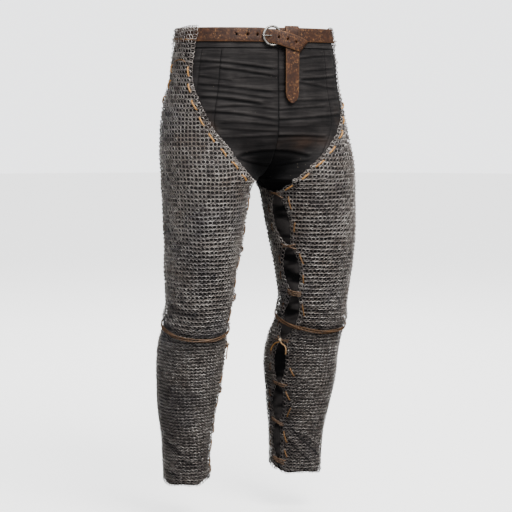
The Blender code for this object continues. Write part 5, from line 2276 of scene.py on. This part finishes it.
    def tab_thread(self, side: Side, material: Material) -> None:
        """The row of thread across the tab over the belt, and the slack arc of it below."""
        self.stitches("tab", TAB_THREAD, side, material, self.tab_lift, self.tab_radius)
        arc = smooth_route([side_point(z, t, self.arc_lift, side) for z, t in TAB_ARC], self.lace_step)
        settle(shown(f"tab_arc_{side.word}", tube(arc, self.arc_radius, sides=6), material), "thong")

    def build(self) -> None:
        """Make every thong on both legs."""
        golden, lace, pale, cream, dull, brown = (
            ThongLeather(f"{name}_thong", linear(*dark), linear(*light), blotches).build()
            for name, dark, light, blotches in THONG_COLOURS)
        tie = TIES[BOW_TIE]
        for side in Side:
            self.garter(side, brown)
            for index in range(len(TIES)):
                self.lace(index, side, lace)
            knot = self.knot(tie, table_at("slot", tie)[0], side)
            settle(shown(f"bow_knot_{side.word}", knot, cream), "thong")
            for (name, rows), finish in zip(self.free_ends, (pale, golden)):
                self.free_end(name, rows, side, finish)
            front = RIGHT_STITCHES if side is Side.RIGHT else LEFT_STITCHES
            self.stitches("front", front, side, golden, self.stitch_lift, self.stitch_radius)
            self.stitches("slot", SLOT_STITCHES, side, dull, self.slot_stitch_lift, self.slot_stitch_radius)
            inner, back = self.inner_stitches(), self.back_stitches(side)
            self.stitches("inner", inner, side, brown, self.inner_stitch_lift, self.inner_stitch_radius)
            self.stitches("back", back, side, golden, self.stitch_lift, self.stitch_radius)
            self.tab_thread(side, dull)


class Lamp(NamedTuple):
    """A soft square light: its name, its place, the side of its square, its power in watts and its colour."""

    name: str
    place: Triple
    size: float
    power: float
    colour: Triple


@dataclass
class Studio:
    """A pale floor, soft lights and the camera."""

    target: Triple = (0.0, 0.0, -0.451)
    azimuth: float = -26.0
    elevation: float = 6.0
    distance: float = 3.3
    lens: float = 112.08
    floor_z: float = -1.010
    floor_radius: float = 14.0
    below: float = 0.20
    zenith: float = 1.7
    backdrop: float = 3.0
    floor_glow: float = 1.5
    bright_side: Triple = (-0.08, -0.96, 0.27)
    from_behind: float = 0.25
    from_bright: float = 1.6
    lamps: tuple[Lamp, ...] = (
        Lamp("key", (0.25, -1.95, 1.85), 1.4, 128.0, (1.0, 0.975, 0.94)),
        Lamp("fill", (-2.8, -0.9, 0.5), 2.0, 4.0, (0.45, 0.68, 1.0)),
        Lamp("back", (1.3, 2.6, 1.9), 1.2, 110.0, (1.0, 1.0, 1.0)),
    )

    def camera(self) -> None:
        """Set the camera at the picture's angle."""
        turn, rise = math.radians(self.azimuth), math.radians(self.elevation)
        back = Vector((math.sin(turn) * math.cos(rise), -math.cos(turn) * math.cos(rise), math.sin(rise)))
        camera = added("camera", bpy.data.cameras.new("camera"))
        camera.data.lens = self.lens
        camera.data.sensor_width = 36.0
        camera.location = Vector(self.target) + back * self.distance
        camera.rotation_euler = back.to_track_quat("Z", "Y").to_euler()
        bpy.context.scene.camera = camera

    def light(self, lamp: Lamp) -> None:
        """Add one soft light that faces the garment.

        Args:
            lamp: The light's numbers.
        """
        light = bpy.data.lights.new(lamp.name, "AREA")
        light.size = lamp.size
        light.energy = lamp.power
        light.color = lamp.colour
        thing = added(lamp.name, light)
        thing.location = lamp.place
        thing.rotation_euler = (Vector(lamp.place) - Vector(self.target)).to_track_quat("Z", "Y").to_euler()

    def floor(self) -> None:
        """Lay a pale floor, which throws no light back on the garment."""
        sheet = bmesh.new()
        bmesh.ops.create_circle(sheet, cap_ends=True, segments=96, radius=self.floor_radius,
                                matrix=Matrix.Translation((0, 0, self.floor_z)))
        sketch = Sketch("pale_floor")
        sketch.put("Base Color", (0.92, 0.92, 0.91, 1.0))
        sketch.put("Emission Color", (1.0, 1.0, 1.0, 1.0))
        sketch.put("Emission Strength", self.floor_glow)
        sketch.put("Roughness", 0.9)
        floor = shown("floor", sheet, sketch.material)
        floor.visible_diffuse = False
        floor.visible_glossy = False

    def world(self) -> None:
        """Fill the room with pale light, brighter from the front, before an even white backdrop."""
        world = bpy.data.worlds.new("room")
        world.use_nodes = True
        wiring = Wiring(world.node_tree)
        direction = wiring.coordinates["Generated"]
        rise = wiring.range(wiring.part(direction, 2), -0.6, 1.0, self.below, self.zenith)
        aside = wiring.node("VectorMath", (0, direction), (1, self.bright_side))
        aside.operation = "DOT_PRODUCT"
        dim = wiring.range(aside.outputs["Value"], -0.35, 1.0, self.from_behind, self.from_bright)
        seen = wiring.node("LightPath").outputs["Is Camera Ray"]
        lit = wiring.math("MULTIPLY", rise, dim)
        strength = wiring.node("Mix", (0, seen), (2, lit), (3, self.backdrop)).outputs[0]
        light = world.node_tree.nodes["Background"]
        wiring.feed(light.inputs["Color"], (0.97, 0.98, 1.0, 1.0))
        wiring.feed(light.inputs["Strength"], strength)
        bpy.context.scene.world = world

    def build(self) -> None:
        """Set the whole studio."""
        self.camera()
        self.world()
        self.floor()
        for lamp in self.lamps:
            self.light(lamp)


def main() -> None:
    """Build the leggings' looks in order."""
    logging.basicConfig(level=logging.INFO, format="%(message)s")
    Studio().build()
    Thongs().build()
    Trousers().build(BlackCloth().build())
    Belt().build(ScuffedLeather().build(), WornSteel().build())
    RingMail().build(RingIron().build())


if __name__ == "__main__":
    main()
